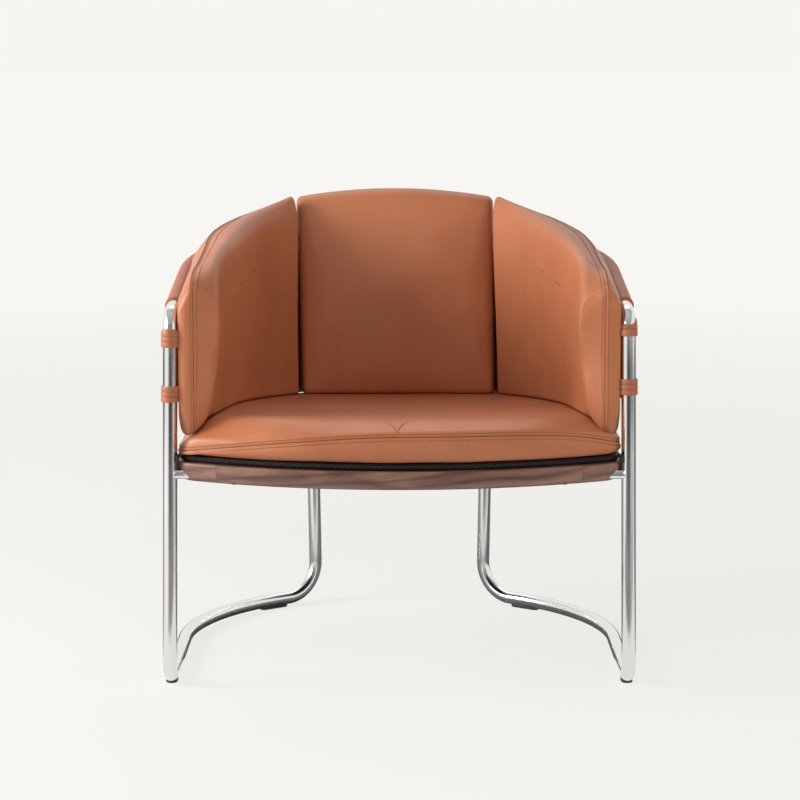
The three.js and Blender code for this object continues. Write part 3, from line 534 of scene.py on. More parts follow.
def gritty(name, dark, light, scale, rough, strength, metallic=0.0):
    material, tree, shader = new_material(name)
    grit = noisy(tree, texture_place(tree, "Object"), scale, 3.0).outputs["Fac"]
    tone = ramp(tree, grit, (0.3, dark), (0.7, light))
    put(tree, shader, Base_Color=tone, Metallic=metallic, Roughness=rough)
    bump_chain(tree, shader, (grit, strength, GRIT_DEPTH))
    return material


def walnut():
    material, tree, shader = new_material("oiled_walnut")
    coords = texture_place(tree, "UV")
    vectors = []
    for scale, turn in (((5.0, 20.0, 1.0), 0.35), ((40.0, 1500.0, 1.0), 0.02)):
        node = add_node(tree, "ShaderNodeMapping", Vector=coords, Scale=scale, Rotation=(0.0, 0.0, turn))
        vectors.append(node.outputs["Vector"])
    figure, fibre = vectors
    broad = noisy(tree, figure, 1.0, 3.0, 0.5, Distortion=1.1).outputs["Fac"]
    wave = add_node(
        tree, "ShaderNodeTexWave", Vector=figure, Scale=0.9, Distortion=7.0, Detail=3.0, Detail_Scale=0.7,
        bands_direction="Y",
    )
    pores = noisy(tree, fibre, 1.0, 4.0, 0.7).outputs["Fac"]
    base = ramp(
        tree, broad, (0.30, (0.10, 0.045, 0.032)), (0.44, (0.20, 0.098, 0.070)),
        (0.60, (0.30, 0.160, 0.118)), (0.76, (0.16, 0.078, 0.057)),
    )
    streak = ramp(
        tree, wave.outputs["Fac"],
        (0.0, (0.50, 0.46, 0.44)), (0.35, (0.95, 0.93, 0.92)), (1.0, (1.12, 1.08, 1.05)),
    )
    flecks = ramp(tree, pores, (0.36, (0.5,) * 3), (0.5, (1,) * 3))
    tone = multiplied(tree, multiplied(tree, base, streak, 0.75), flecks, 0.55)
    put(tree, shader, Base_Color=tone, Roughness=0.42, Coat_Weight=0.15, Coat_Roughness=0.35)
    bump_chain(tree, shader, (pores, 0.35, WOOD_PORE_DEPTH))
    return material


STEEL = steel()
DARK_STEEL = gritty("dark_steel", (0.075, 0.07125, 0.075), (0.10, 0.095, 0.10), 700.0, 0.4, 0.2, metallic=1.0)
RUBBER = gritty("black_rubber", (0.018, 0.017, 0.019), (0.035, 0.033, 0.036), 1200.0, 0.62, 0.3)
WALNUT = walnut()
HIDE = leather("cushion_hide", (0.485, 0.172, 0.077), (0.425, 0.143, 0.062), (0.36, 0.48), gloss=0.36)
# Partly painted shade: the thread's own dark brown, made darker still to stand in for the shadows of the
# stitch holes.
THREAD_AND_HOLE_SHADE = leather("thread_and_painted_hole_shade", (0.15, 0.045, 0.018), (0.11, 0.032, 0.013), (0.6, 0.8), pore=2500.0)
# Painted shade: a dark cord laid along each cushion seam stands in for the shadow in the seam's groove.
SEAM_SHADE = leather("painted_seam_shade", (0.16, 0.045, 0.017), (0.12, 0.035, 0.013), (0.6, 0.7))
# Painted shade: darker leather for the cords that stand in for the shading of the seat's folds.
FOLD_SHADE_HIDE = leather("painted_fold_shade", (0.31, 0.10, 0.042), (0.26, 0.082, 0.034), (0.5, 0.6))
STRAP_HIDE = leather("strap_hide", (0.42, 0.145, 0.072), (0.35, 0.112, 0.054), (0.46, 0.60), pore=1100.0)
SADDLE = leather("saddle_hide", (0.050, 0.022, 0.018), (0.036, 0.015, 0.013), (0.30, 0.45), pore=700.0)
# Partly painted shade: dark brown sling leather, darkened further to near black for the shade under the seat
# cushion.
SLING_HIDE_AND_SHADE = leather("sling_hide_and_painted_shade", (0.016, 0.010, 0.011), (0.010, 0.007, 0.008), (0.5, 0.65), 700.0, 0.3)
# Partly painted shade: the lace's colour, darkened to stand in for the shade under the seat cushion.
LACE_AND_SHADE = leather("lace_cord_and_painted_shade", (0.055, 0.041, 0.038), (0.035, 0.027, 0.025), (0.6, 0.75), 2500.0, 0.3)
SADDLE_THREAD = leather("saddle_thread", (0.16, 0.085, 0.05), (0.1, 0.05, 0.03), (0.6, 0.7), pore=2500.0)


# Mesh building


def add_piece(name, verts, faces, material, slot, nodes=(), uvs=None, levels=0, sharp=None):
    mesh = bpy.data.meshes.new(name)
    mesh.from_pydata([place(v) for v in verts], [], faces)
    if uvs:
        layer = mesh.uv_layers.new(name="UVMap")
        flat = [value for corner in uvs for value in corner]
        layer.data.foreach_set("uv", flat)
    mesh.update()
    mesh.shade_smooth()
    if sharp:
        mesh.set_sharp_from_angle(angle=math.radians(sharp))
    piece = bpy.data.objects.new(name, mesh)
    bpy.context.scene.collection.objects.link(piece)
    mesh.materials.append(material)
    if levels:
        modifier = piece.modifiers.new("subdivide", "SUBSURF")
        modifier.levels = levels
        modifier.render_levels = levels
    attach(piece, "root")
    if nodes:
        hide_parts(*nodes)
    return piece


def length_table(points, closed=False):
    table = [0.0]
    for a, b in zip(points, points[1:] + (points[:1] if closed else [])):
        table.append(table[-1] + (Vector(b) - Vector(a)).length)
    return table


class Builder:
    """Collects closed or open rows of points into one mesh, with a UV of lengths in metres."""

    def __init__(self):
        self.verts = []
        self.faces = []
        self.uvs = []

    def rows(self, rows, closed_rows=False, closed_loop=True, cap_start=False, cap_end=False):
        start = len(self.verts)
        count = len(rows[0])
        for row in rows:
            self.verts.extend(Vector(p) for p in row)
        along = length_table([row[0] for row in rows], closed_rows)
        around = length_table(rows[len(rows) // 2], closed_loop)
        last = len(rows) if closed_rows else len(rows) - 1
        span = count if closed_loop else count - 1
        for r in range(last):
            nxt = (r + 1) % len(rows)
            for c in range(span):
                d = (c + 1) % count
                low, high = start + r * count, start + nxt * count
                self.faces.append((low + c, low + d, high + d, high + c))
                for up, side in ((0, 0), (0, 1), (1, 1), (1, 0)):
                    self.uvs.append((along[r + up] * MM, around[c + side] * MM))
        for wanted, r in ((cap_start, 0), (cap_end, len(rows) - 1)):
            if not wanted:
                continue
            centre = sum((Vector(p) for p in rows[r]), Vector()) / count
            tip = len(self.verts)
            self.verts.append(centre)
            for c in range(count):
                d = (c + 1) % count
                a, b = start + r * count + c, start + r * count + d
                self.faces.append((tip, b, a) if r == 0 else (tip, a, b))
                self.uvs.extend(((along[r] * MM, 0),) * 3)
        return self

    def finish(self, name, material, slot, **options):
        options.setdefault("uvs", self.uvs)
        return add_piece(name, self.verts, self.faces, material, slot, **options)


def ring_of(centre, u, v, radius, sides):
    turns = [2 * math.pi * i / sides for i in range(sides)]
    return [centre + u * (radius * math.cos(a)) + v * (radius * math.sin(a)) for a in turns]


def frames(points, first=Vector((1, 0, 0))):
    """A tangent and two normals at each point, with no twist along the way."""
    result = []
    normal = None
    for i, p in enumerate(points):
        before = (p - points[i - 1]).normalized() if i else Vector()
        after = (points[i + 1] - p).normalized() if i < len(points) - 1 else Vector()
        tangent = (before + after).normalized()
        if normal is None:
            normal = first
        normal = (normal - tangent * normal.dot(tangent)).normalized()
        result.append((tangent, normal, tangent.cross(normal)))
    return result


def tube(builder, points, radius, sides=36, caps=(True, True)):
    """A round tube along a line of points; the radius is one size or a list with one for each point."""
    radii = radius if isinstance(radius, list) else [radius] * len(points)
    rows = [ring_of(p, u, v, r, sides) for p, (_, u, v), r in zip(points, frames(points), radii)]
    return builder.rows(rows, cap_start=caps[0], cap_end=caps[1])


def bent(corners, radii, steps=22):
    points = [corners[0].copy()]
    for i in range(1, len(corners) - 1):
        inward = (corners[i - 1] - corners[i]).normalized()
        outward = (corners[i + 1] - corners[i]).normalized()
        turn = math.pi - inward.angle(outward)
        reach = radii[i - 1] * math.tan(turn / 2)
        start = corners[i] + inward * reach
        centre = corners[i] + (inward + outward).normalized() * (radii[i - 1] / math.cos(turn / 2))
        across = (start - centre).normalized()
        ahead = -inward
        for k in range(steps + 1):
            a = turn * k / steps
            points.append(centre + (across * math.cos(a) + ahead * math.sin(a)) * radii[i - 1])
    points.append(corners[-1].copy())
    return points


# Steel frame
FOOT_H = PAD_STAND + TUBE_R
RISE_SHARE = (RAIL_BACK_H - RAIL_FRONT_H) / (RAIL_ARC_DEPTH + RAIL_X)


def rail_h(depth):
    return RAIL_FRONT_H + RISE_SHARE * depth


def post_x(height):
    return mix(FOOT_X, RAIL_X, (height - FOOT_H) / (RAIL_FRONT_H - FOOT_H))


def hoop_point(turn, radius=RAIL_X):
    depth = RAIL_ARC_DEPTH + RAIL_X * math.sin(turn)
    return Vector((radius * math.cos(turn), RAIL_ARC_DEPTH + radius * math.sin(turn), rail_h(depth)))


def arm_line(side):
    below = Vector((side * post_x(JOINT_H), 0, JOINT_H + JOINT_GAP / 2))
    corner = Vector((side * RAIL_X, 0, RAIL_FRONT_H))
    behind = Vector((side * RAIL_X, RAIL_ARC_DEPTH, rail_h(RAIL_ARC_DEPTH)))
    return bent([below, corner, behind], [RAIL_BEND_R])[:-1]


hoop_line = [hoop_point(math.pi * i / 96) for i in range(97)]
rail_line = arm_line(1) + hoop_line + arm_line(-1)[::-1]
tube(Builder(), rail_line, TUBE_R).finish("rail_tube", STEEL, "steel", nodes=["top_rail"], sharp=40)

turn_in = math.radians(RUNNER_TURN)
rear_top_depth = RAIL_ARC_DEPTH + math.sqrt(RAIL_X**2 - REAR_LEG_X**2)
rear_foot_depth = rear_top_depth - REAR_FOOT_IN
leg_run = (FOOT_X - REAR_FOOT_X) / math.sin(turn_in)
plan_corner_depth = rear_foot_depth - leg_run * math.cos(turn_in)
runner_reach = leg_run - RUNNER_STRAIGHT - REAR_FOOT_R
runner_r = runner_reach / math.tan(turn_in / 2)


def rear_leg_at(height, side=1):
    share = (height - FOOT_H) / (rail_h(rear_top_depth) - FOOT_H)
    x = mix(REAR_FOOT_X, REAR_LEG_X, share)
    return Vector((side * x, mix(rear_foot_depth, rear_top_depth, share), height))


def leg_line(side):
    corners = [
        Vector((side * post_x(JOINT_H), 0, JOINT_H - JOINT_GAP / 2)),
        Vector((side * FOOT_X, 0, FOOT_H)),
        Vector((side * FOOT_X, plan_corner_depth, FOOT_H)),
        Vector((side * REAR_FOOT_X, rear_foot_depth, FOOT_H)),
        rear_leg_at(rail_h(rear_top_depth), side),
    ]
    return bent(corners, [FRONT_FOOT_R, runner_r, REAR_FOOT_R])


def weld(builder, points, at_end, radius, sides=36):
    """Weld bead: the last stretch before a wall swells out to meet it."""
    root, nearby = (points[-1], points[-2]) if at_end else (points[0], points[1])
    axis = (nearby - root).normalized()
    shares = [i / WELD_STEPS for i in range(WELD_STEPS + 1)]
    line = [root + axis * (TUBE_R * WELD_CLEAR_SHARE + WELD_LENGTH * share) for share in shares]
    tube(builder, line, [radius + WELD_SKIN + WELD_SWELL * (1 - share) ** 2 for share in shares], sides)


for label, side in SIDES:
    line = leg_line(side)
    build = tube(Builder(), line, TUBE_R)
    weld(build, line, True, TUBE_R)
    build.finish(f"{label}_leg", STEEL, "steel", nodes=[f"{label}_leg_tube"], sharp=40)

cross_end = post_x(CROSS_H)
cross_r = (cross_end**2 + CROSS_BOW**2) / (2 * CROSS_BOW)


def cross_depth(x):
    arc = -CROSS_BOW + cross_r - math.sqrt(cross_r**2 - x**2)
    return arc * smooth((cross_end - abs(x)) / CROSS_STRAIGHT)


cross_xs = [cross_end * (1 - 2 * i / 60) for i in range(61)]
cross_line = [Vector((x, cross_depth(x), CROSS_H)) for x in cross_xs]
build = tube(Builder(), cross_line, CROSS_R, sides=28)
for at_end in (False, True):
    weld(build, cross_line, at_end, CROSS_R, sides=28)
build.finish("cross_tube", STEEL, "steel", nodes=["front_cross_tube"], sharp=40)
for label, side in SIDES:
    root = rear_leg_at(CROSS_H, side)
    stub = [root, root + Vector((0, -TUBE_R - STUB_REACH, 0))]
    build = tube(Builder(), stub, CROSS_R, sides=28)
    weld(build, stub, False, CROSS_R, sides=28)
    build.finish(f"{label}_stub", STEEL, "steel", nodes=[f"{label}_rear_stub"], sharp=40)


# Foot pads: rounded rubber soles that hug the tube
def pad_rows(length):
    rows = []
    half = length / 2
    wide = PAD_WIDTH / 2
    top = PAD_STAND + PAD_LIP
    levels = ((PAD_ROUND, 0), (0, PAD_ROUND), (0, PAD_STAND))
    levels += tuple(zip(PAD_LIP_INSETS, (top - PAD_LIP_EASE, top)))
    for inset, height in levels:
        row = []
        for end, centre in ((1, half - wide), (-1, -half + wide)):
            for i in range(13):
                a = (0 if end > 0 else math.pi) + math.pi * i / 12
                row.append((math.cos(a) * (wide - inset), centre + math.sin(a) * (wide - inset), height))
        rows.append(row)
    return rows


for label, side in SIDES:
    rear_run = runner_reach - PAD_BACKS["rear"]
    spots = {
        "front": (side * FOOT_X, FRONT_FOOT_R + PAD_BACKS["front"], 0),
        "rear": (
            side * (FOOT_X - rear_run * math.sin(turn_in)),
            plan_corner_depth + rear_run * math.cos(turn_in),
            side * turn_in,
        ),
    }
    for end, (x, depth, heading) in spots.items():
        cos, sin = math.cos(heading), math.sin(heading)
        rows = [
            [Vector((x + p[0] * cos - p[1] * sin, depth + p[0] * sin + p[1] * cos, p[2])) for p in row]
            for row in pad_rows(PAD_LENGTHS[end])
        ]
        build = Builder().rows(rows, cap_start=True, cap_end=True)
        build.finish(f"{label}_{end}_sole", RUBBER, "rubber", nodes=[f"{label}_{end}_pad"], sharp=50)


# Seat outline in plan: round rear half, straight sides, round corners and a bowed front
def outline(inset, half_x=RING_X, front=RING_FRONT, rear=RING_REAR_DEPTH + RING_X, dense=1):
    corner_r = max(RING_CORNER_R - inset, SMALLEST_R)
    front_r = RING_FRONT_R - inset
    bow = RING_FRONT_R - front
    corner_x = half_x - inset - corner_r
    corner_depth = bow - math.sqrt((front_r - corner_r) ** 2 - corner_x**2)
    corner_turn = math.atan2(corner_x, bow - corner_depth)
    quarter = math.pi / 2
    round_x = half_x - inset
    round_depth = rear - RING_REAR_DEPTH - inset
    points = []

    def arc(cx, cy, rx, ry, start, stop, steps):
        for i in range(steps):
            a = mix(start, stop, i / steps)
            points.append((cx + rx * math.cos(a), cy + ry * math.sin(a)))

    def straight(x, start, stop, steps):
        for i in range(steps):
            points.append((x, mix(start, stop, i / steps)))

    arc(0, RING_REAR_DEPTH, round_x, round_depth, quarter, 2 * quarter, 36 * dense)
    straight(-round_x, RING_REAR_DEPTH, corner_depth, 14 * dense)
    arc(-corner_x, corner_depth, corner_r, corner_r, 2 * quarter, 3 * quarter - corner_turn, 10 * dense)
    arc(0, bow, front_r, front_r, 3 * quarter - corner_turn, 3 * quarter + corner_turn, 44 * dense)
    arc(corner_x, corner_depth, corner_r, corner_r, 3 * quarter + corner_turn, 4 * quarter, 10 * dense)
    straight(round_x, corner_depth, RING_REAR_DEPTH, 14 * dense)
    arc(0, RING_REAR_DEPTH, round_x, round_depth, 0, quarter, 36 * dense)
    return points


def scaled(points, share):
    """Points in plan, drawn in towards the centre of the round rear half."""
    return [(x * share, RING_REAR_DEPTH + (y - RING_REAR_DEPTH) * share) for x, y in points]


def raised(points, height):
    """Points in plan lifted to a height, which is one size or a function of x and depth."""
    return [Vector((x, y, height(x, y) if callable(height) else height)) for x, y in points]


# Walnut ring: a rounded section swept round the outline, parted at four glued joints
RING_LOW = RING_TOP - RING_HEIGHT
ring_section = []
for i in range(5):
    a = math.pi / 2 * i / 4
    ring_section.append((RING_EDGE * (1 - math.sin(a)), RING_TOP - RING_EDGE * (1 - math.cos(a))))
for i in range(13):
    a = math.pi / 2 * i / 12
    ring_section.append((RING_ROUND * (1 - math.cos(a)), RING_LOW + RING_ROUND * (1 - math.sin(a))))
ring_section += [
    (RING_WIDTH - RING_EDGE, RING_LOW), (RING_WIDTH, RING_LOW + RING_EDGE),
    (RING_WIDTH, RING_TOP - RING_EDGE), (RING_WIDTH - RING_EDGE, RING_TOP),
]
ring_loops = [raised(outline(inset), h) for inset, h in ring_section]
ring_count = len(ring_loops[0])
ring_stations = [[loop[i] for loop in ring_loops] for i in range(ring_count)]
marks = [round(share * ring_count) for share in RING_JOINT_SHARES]
segments = {
    "left": (marks[0], marks[1]), "front": (marks[1], marks[2]),
    "right": (marks[2], marks[3]), "rear": (marks[3], marks[0] + ring_count),
}
for name, (start, stop) in segments.items():
    stations = [[p.copy() for p in ring_stations[i % ring_count]] for i in range(start, stop + 1)]
    for end, nearby in ((0, 1), (-1, -2)):
        pairs = zip(stations[end], stations[nearby])
        stations[end] = [a + (b - a).normalized() * (RING_JOINT / 2) for a, b in pairs]
    build = Builder().rows(stations, cap_start=True, cap_end=True)
    build.finish(f"ring_{name}", WALNUT, "walnut", nodes=[f"ring_{name}_segment"], sharp=35)


# Sling: a dished membrane whose edge rolls over the hoop
def sling_loops(shares, inset, height):
    return [
        raised(scaled(outline(inset), share), height - SLING_SAG * (1 - share**2))
        for share in shares
    ]


rim_edge = RIM_INSET + RIM_WIDTH
rim_round = (RIM_TOP - RIM_LOW) / 2
rim_rows = [(rim_edge - RIM_FALL_IN, RIM_TOP - RIM_FALL), (RIM_INSET + rim_round + RIM_CREST_IN, RIM_TOP)]
for i in range(11):
    a = math.pi / 2 - math.pi * i / 10
    height = RIM_LOW + rim_round * (1 + math.sin(a))
    rim_rows.append((RIM_INSET + rim_round - rim_round * math.cos(a), height))
rim_rows += [(rim_edge, RIM_LOW), (rim_edge, RIM_LOW + RIM_TURN_UP)]
sling_rows = sling_loops(SLING_SHARES, rim_edge, RIM_TOP - SLING_T)
sling_rows += [raised(outline(inset), height) for inset, height in rim_rows]
sling_rows += sling_loops(SLING_SHARES[::-1], rim_edge + SLING_UNDER_IN, RIM_TOP - 2 * SLING_T)
# The rim's near-black colour includes painted shade from the overhanging seat cushion.
sling = Builder().rows(sling_rows, cap_start=True, cap_end=True).finish(
    "sling", SLING_HIDE_AND_SHADE, "saddle_leather", nodes=["seat_sling", "sling_hoop"], sharp=50,
)

# Zigzag lace through the rim
rim_face = raised(outline(RIM_INSET - LACE_OUT, dense=2), LACE_H)
rim_table = length_table(rim_face, closed=True)
turns = round(rim_table[-1] / LACE_PITCH)
lace_points = []
cursor = 0
for i in range(2 * turns):
    goal = rim_table[-1] * i / (2 * turns)
    while rim_table[cursor + 1] < goal:
        cursor += 1
    a, b = rim_face[cursor], rim_face[(cursor + 1) % len(rim_face)]
    p = a.lerp(b, (goal - rim_table[cursor]) / (rim_table[cursor + 1] - rim_table[cursor]))
    rise = LACE_RISE if i % 2 else -LACE_RISE
    out = (b - a).cross(Vector((0, 0, 1))).normalized()
    lace_points.append((p + Vector((0, 0, rise)), out))
build = Builder()
for i, (p, out) in enumerate(lace_points):
    q = lace_points[(i + 1) % len(lace_points)][0]
    middle = (p + q) / 2 + out * LACE_BOW
    line = [p - out * LACE_TUCK, p + out * LACE_LIFT, middle, q + out * LACE_LIFT, q - out * LACE_TUCK]
    tube(build, line, LACE_R, sides=6)
# The lace's dark colour includes painted shade from the overhanging seat cushion.
build.finish("rim_lace", LACE_AND_SHADE, "lace", nodes=["sling_lace"])


# Shell plan: share runs from the right front edge round the back to the left front edge
SHELL_ARC_DEPTH = RAIL_ARC_DEPTH - SHELL_ARC_IN


def shell_lean(height):
    return SHELL_LEAN_SHARE * (height - SHELL_LOW_H)


def shell_plan(share, inset, height):
    x = SHELL_X - inset
    y = SHELL_ROUND - inset
    centre = SHELL_ARC_DEPTH + shell_lean(height)
    straight = centre - SHELL_FRONT
    total = 2 * straight + math.pi * x
    s = share * total
    if s < straight:
        return Vector((x, SHELL_FRONT + s, height))
    if s > total - straight:
        return Vector((-x, SHELL_FRONT + total - s, height))
    a = (s - straight) / x
    return Vector((x * math.cos(a), centre + y * math.sin(a), height))


def shell_low(share):
    t = smooth((0.5 - abs(share - 0.5)) / SHELL_DIP_SHARE)
    return mix(SHELL_FRONT_LOW_H, SHELL_LOW_H - SHELL_DIP, t)


bend_turn = math.pi / 2 + math.atan(RISE_SHARE)
BEND_START_H = RAIL_FRONT_H - RAIL_BEND_R * math.tan(bend_turn / 2)
SHELL_CORNER_R = RAIL_BEND_R - TUBE_R - SHELL_BEND_CLEAR


def shell_high(depth):
    level = rail_h(depth) - TUBE_R - SHELL_UNDER
    to_bend = RAIL_BEND_R - depth
    if to_bend < 0:
        return level
    return min(level, BEND_START_H + math.sqrt(max(SHELL_CORNER_R**2 - to_bend**2, 0)))


shell_length = 2 * (SHELL_ARC_DEPTH - SHELL_FRONT) + math.pi * SHELL_X


def shell_limits(share):
    high = shell_high(shell_plan(share, 0, SHELL_LOW_H).y)
    low = shell_low(share)
    from_end = min(share, 1 - share) * shell_length
    if from_end < SHELL_TIP_R:
        low += SHELL_TIP_R - math.sqrt(max(SHELL_TIP_R**2 - (SHELL_TIP_R - from_end) ** 2, 0))
    return low, high


shell_shares = list(SHELL_END_SHARES)
shell_shares += [mix(*SHELL_MIDDLE_SHARES, i / 150) for i in range(151)]
shell_shares += [1 - share for share in reversed(SHELL_END_SHARES)]
shell_rows = []
for share in shell_shares:
    low, high = shell_limits(share)
    profile = [(inset, low + rise) for inset, rise in SHELL_EDGE]
    profile += [(0, mix(low, high, level)) for level in SHELL_LEVEL_SHARES]
    profile += [(inset, high - rise) for inset, rise in reversed(SHELL_EDGE)]
    profile += [(SHELL_T - inset, height) for inset, height in reversed(profile[1:-1])]
    shell_rows.append([shell_plan(share, inset, height) for inset, height in profile])
Builder().rows(shell_rows, cap_start=True, cap_end=True).finish(
    "barrel_shell", SADDLE, "saddle_leather", nodes=["back_shell"], sharp=60,
)


# Stitches: short threads laid along a line of points with their surface normals
def stitches(builder, line, pitch=STITCH_PITCH, length=STITCH_LENGTH, radius=STITCH_R, closed=False):
    points = [Vector(p) for p, _ in line]
    table = length_table(points, closed)
    ring = len(points)
    cursor = 0
    count = int(table[-1] / pitch)
    for i in range(count):
        ends = []
        for goal in (pitch * i, pitch * i + length):
            if goal > table[-1]:
                break
            while cursor + 2 < len(table) and table[cursor + 1] < goal:
                cursor += 1
            a, b = cursor, (cursor + 1) % ring
            t = (goal - table[cursor]) / max(table[cursor + 1] - table[cursor], TINY)
            normal = Vector(line[a][1]).lerp(Vector(line[b][1]), t).normalized()
            ends.append((points[a].lerp(points[b], t), normal))
        if len(ends) < 2:
            break
        (a, n), (b, m) = ends
        along = (b - a).normalized()
        side = along.cross(n).normalized()
        rows = []
        for share, lift, swell in STITCH_SHARES:
            centre = a.lerp(b, share) + n * (radius * lift)
            rows.append(ring_of(centre, side, n, radius * swell, 6))
        builder.rows(rows)
    return builder


def edge_line(limit, inset):
    """A line beside the shell's low or high edge, on its outer face or, at an inset, its inner face."""
    line = []
    for i in range(2, 239):
        share = i / 240
        low, high = shell_limits(share)
        height = low + SHELL_SEAM_IN if limit == "low" else high - SHELL_SEAM_IN
        p = shell_plan(share, inset, height)
        centre = Vector((0, clamp(p.y, 0, SHELL_ARC_DEPTH), height))
        out = (p - centre).normalized() * (1 if inset == 0 else -1)
        line.append((p, out))
    return line


build = Builder()
for limit in ("low", "high"):
    for inset in (0, SHELL_T):
        stitches(build, edge_line(limit, inset), **SHELL_STITCH)
build.finish("shell_stitching", SADDLE_THREAD, "lace", uvs=None)


# Straps: bands of leather that close round a tube and through the shell beside it
def loop_outline(radius, first, second, steps=26):
    def tangent(p, sign):
        return math.atan2(p[1], p[0]) + sign * math.acos(radius / math.hypot(*p))

    start = tangent(first, 1)
    stop = tangent(second, -1)
    while stop < start:
        stop += 2 * math.pi
    turns = [mix(start, stop, i / steps) for i in range(steps + 1)]
    return [first, *((radius * math.cos(a), radius * math.sin(a)) for a in turns), second]


def strap_profile(turns):
    """Thickness across the strap: one or more wound turns with a groove between neighbours."""
    profile = []
    width = STRAP_WIDTH / turns
    for turn in range(turns):
        for share, thick in STRAP_EDGE_SHARES:
            if turn and share == 0:
                continue
            profile.append(((turn + share) * width, STRAP_T * thick))
    return profile


def strap(name, near, far, reach, station, turns, node):
    """A closed loop round a tube and through the shell, swept along its width by a station function."""
    drop = reach - STRAP_HUG
    inner = loop_outline(TUBE_R + STRAP_HUG, (near - STRAP_HUG, drop), (far + STRAP_HUG, drop))
    count = len(inner)
    rows = []
    profile = strap_profile(turns)
    for i in range(count):
        before, after = Vector(inner[i - 1]), Vector(inner[(i + 1) % count])
        p = Vector(inner[i])
        along = (after - before).normalized()
        normal = Vector((along.y, -along.x))
        if i in (0, count - 1):
            normal = Vector((normal.x, 1)).normalized() * STRAP_END_SHARE
        spots = [(s, p + normal * thick) for s, thick in profile]
        spots += [(s, p) for s in (profile[-1][0], mix(profile[0][0], profile[-1][0], 0.5), profile[0][0])]
        row = []
        for s, q in spots:
            at, u, v = station(s)
            row.append(at + u * q.x + v * q.y)
        rows.append(row)
    build = Builder().rows(rows, closed_rows=True)
    build.finish(name, STRAP_HIDE, "strap_leather", nodes=[node], sharp=55)


def front_station(side, start):
    def station(s):
        s += start
        a = max(s, 0) / RAIL_BEND_R
        height = BEND_START_H + (RAIL_BEND_R * math.sin(a) if s > 0 else s)
        at = Vector((side * post_x(height), RAIL_BEND_R * (1 - math.cos(a)), height))
        return at, Vector((side, 0, 0)), Vector((0, math.cos(a), -math.sin(a)))
    return station


for label, side in SIDES:
    for which, start in zip(("upper", "lower"), STRAP_STARTS[side]):
        centre_x = post_x(BEND_START_H + min(start + STRAP_WIDTH / 2, 0))
        strap(
            f"{label}_{which}_binding", SHELL_X - SHELL_T - centre_x, SHELL_X - centre_x,
            SHELL_FRONT + STRAP_TUCK, front_station(side, start), STRAP_TURNS, f"{label}_{which}_strap",
        )


def shell_face_to(facing, inset):
    return 1 / math.hypot(math.cos(facing) / (SHELL_X - inset), math.sin(facing) / (SHELL_ROUND - inset))


for label, side in SIDES:
    for which, height in zip(("upper", "lower"), LEG_STRAP_HEIGHTS):
        leg = rear_leg_at(height)
        centre = SHELL_ARC_DEPTH + shell_lean(height)
        facing = math.atan2(leg.y - centre, leg.x)
        away = math.hypot(leg.x, leg.y - centre)
        reach = away - shell_face_to(facing, SHELL_T) + JOINT_GAP
        inward = Vector((-side * math.cos(facing), -math.sin(facing), 0))
        across = Vector((-inward.y, inward.x, 0))

        def leg_station(s, leg=leg, side=side, height=height, across=across, inward=inward):
            return Vector((side * leg.x, leg.y, height - STRAP_WIDTH / 2 + s)), across, inward

        strap(
            f"{label}_leg_{which}_binding", -LEG_STRAP_HALF, LEG_STRAP_HALF, reach,
            leg_station, 1, f"{label}_leg_{which}_strap",
        )

for i, turn in enumerate(RAIL_STRAP_TURNS):
    a = math.radians(turn)
    at = hoop_point(a)
    reach = TUBE_R + RAIL_STRAP_CLEAR + RAIL_STRAP_DROP
    level = at.z - reach
    plan = math.hypot(at.x, at.y - SHELL_ARC_DEPTH - shell_lean(level))

    def rail_station(s, a=a):
        turned = a + (s - STRAP_WIDTH / 2) / RAIL_X
        return hoop_point(turned), Vector((math.cos(turned), math.sin(turned), 0)), Vector((0, 0, -1))

    strap(
        f"rail_binding_{i + 1}", shell_face_to(a, SHELL_T) - plan, shell_face_to(a, 0) - plan, reach,
        rail_station, 1, f"rail_strap_{i + 1}",
    )

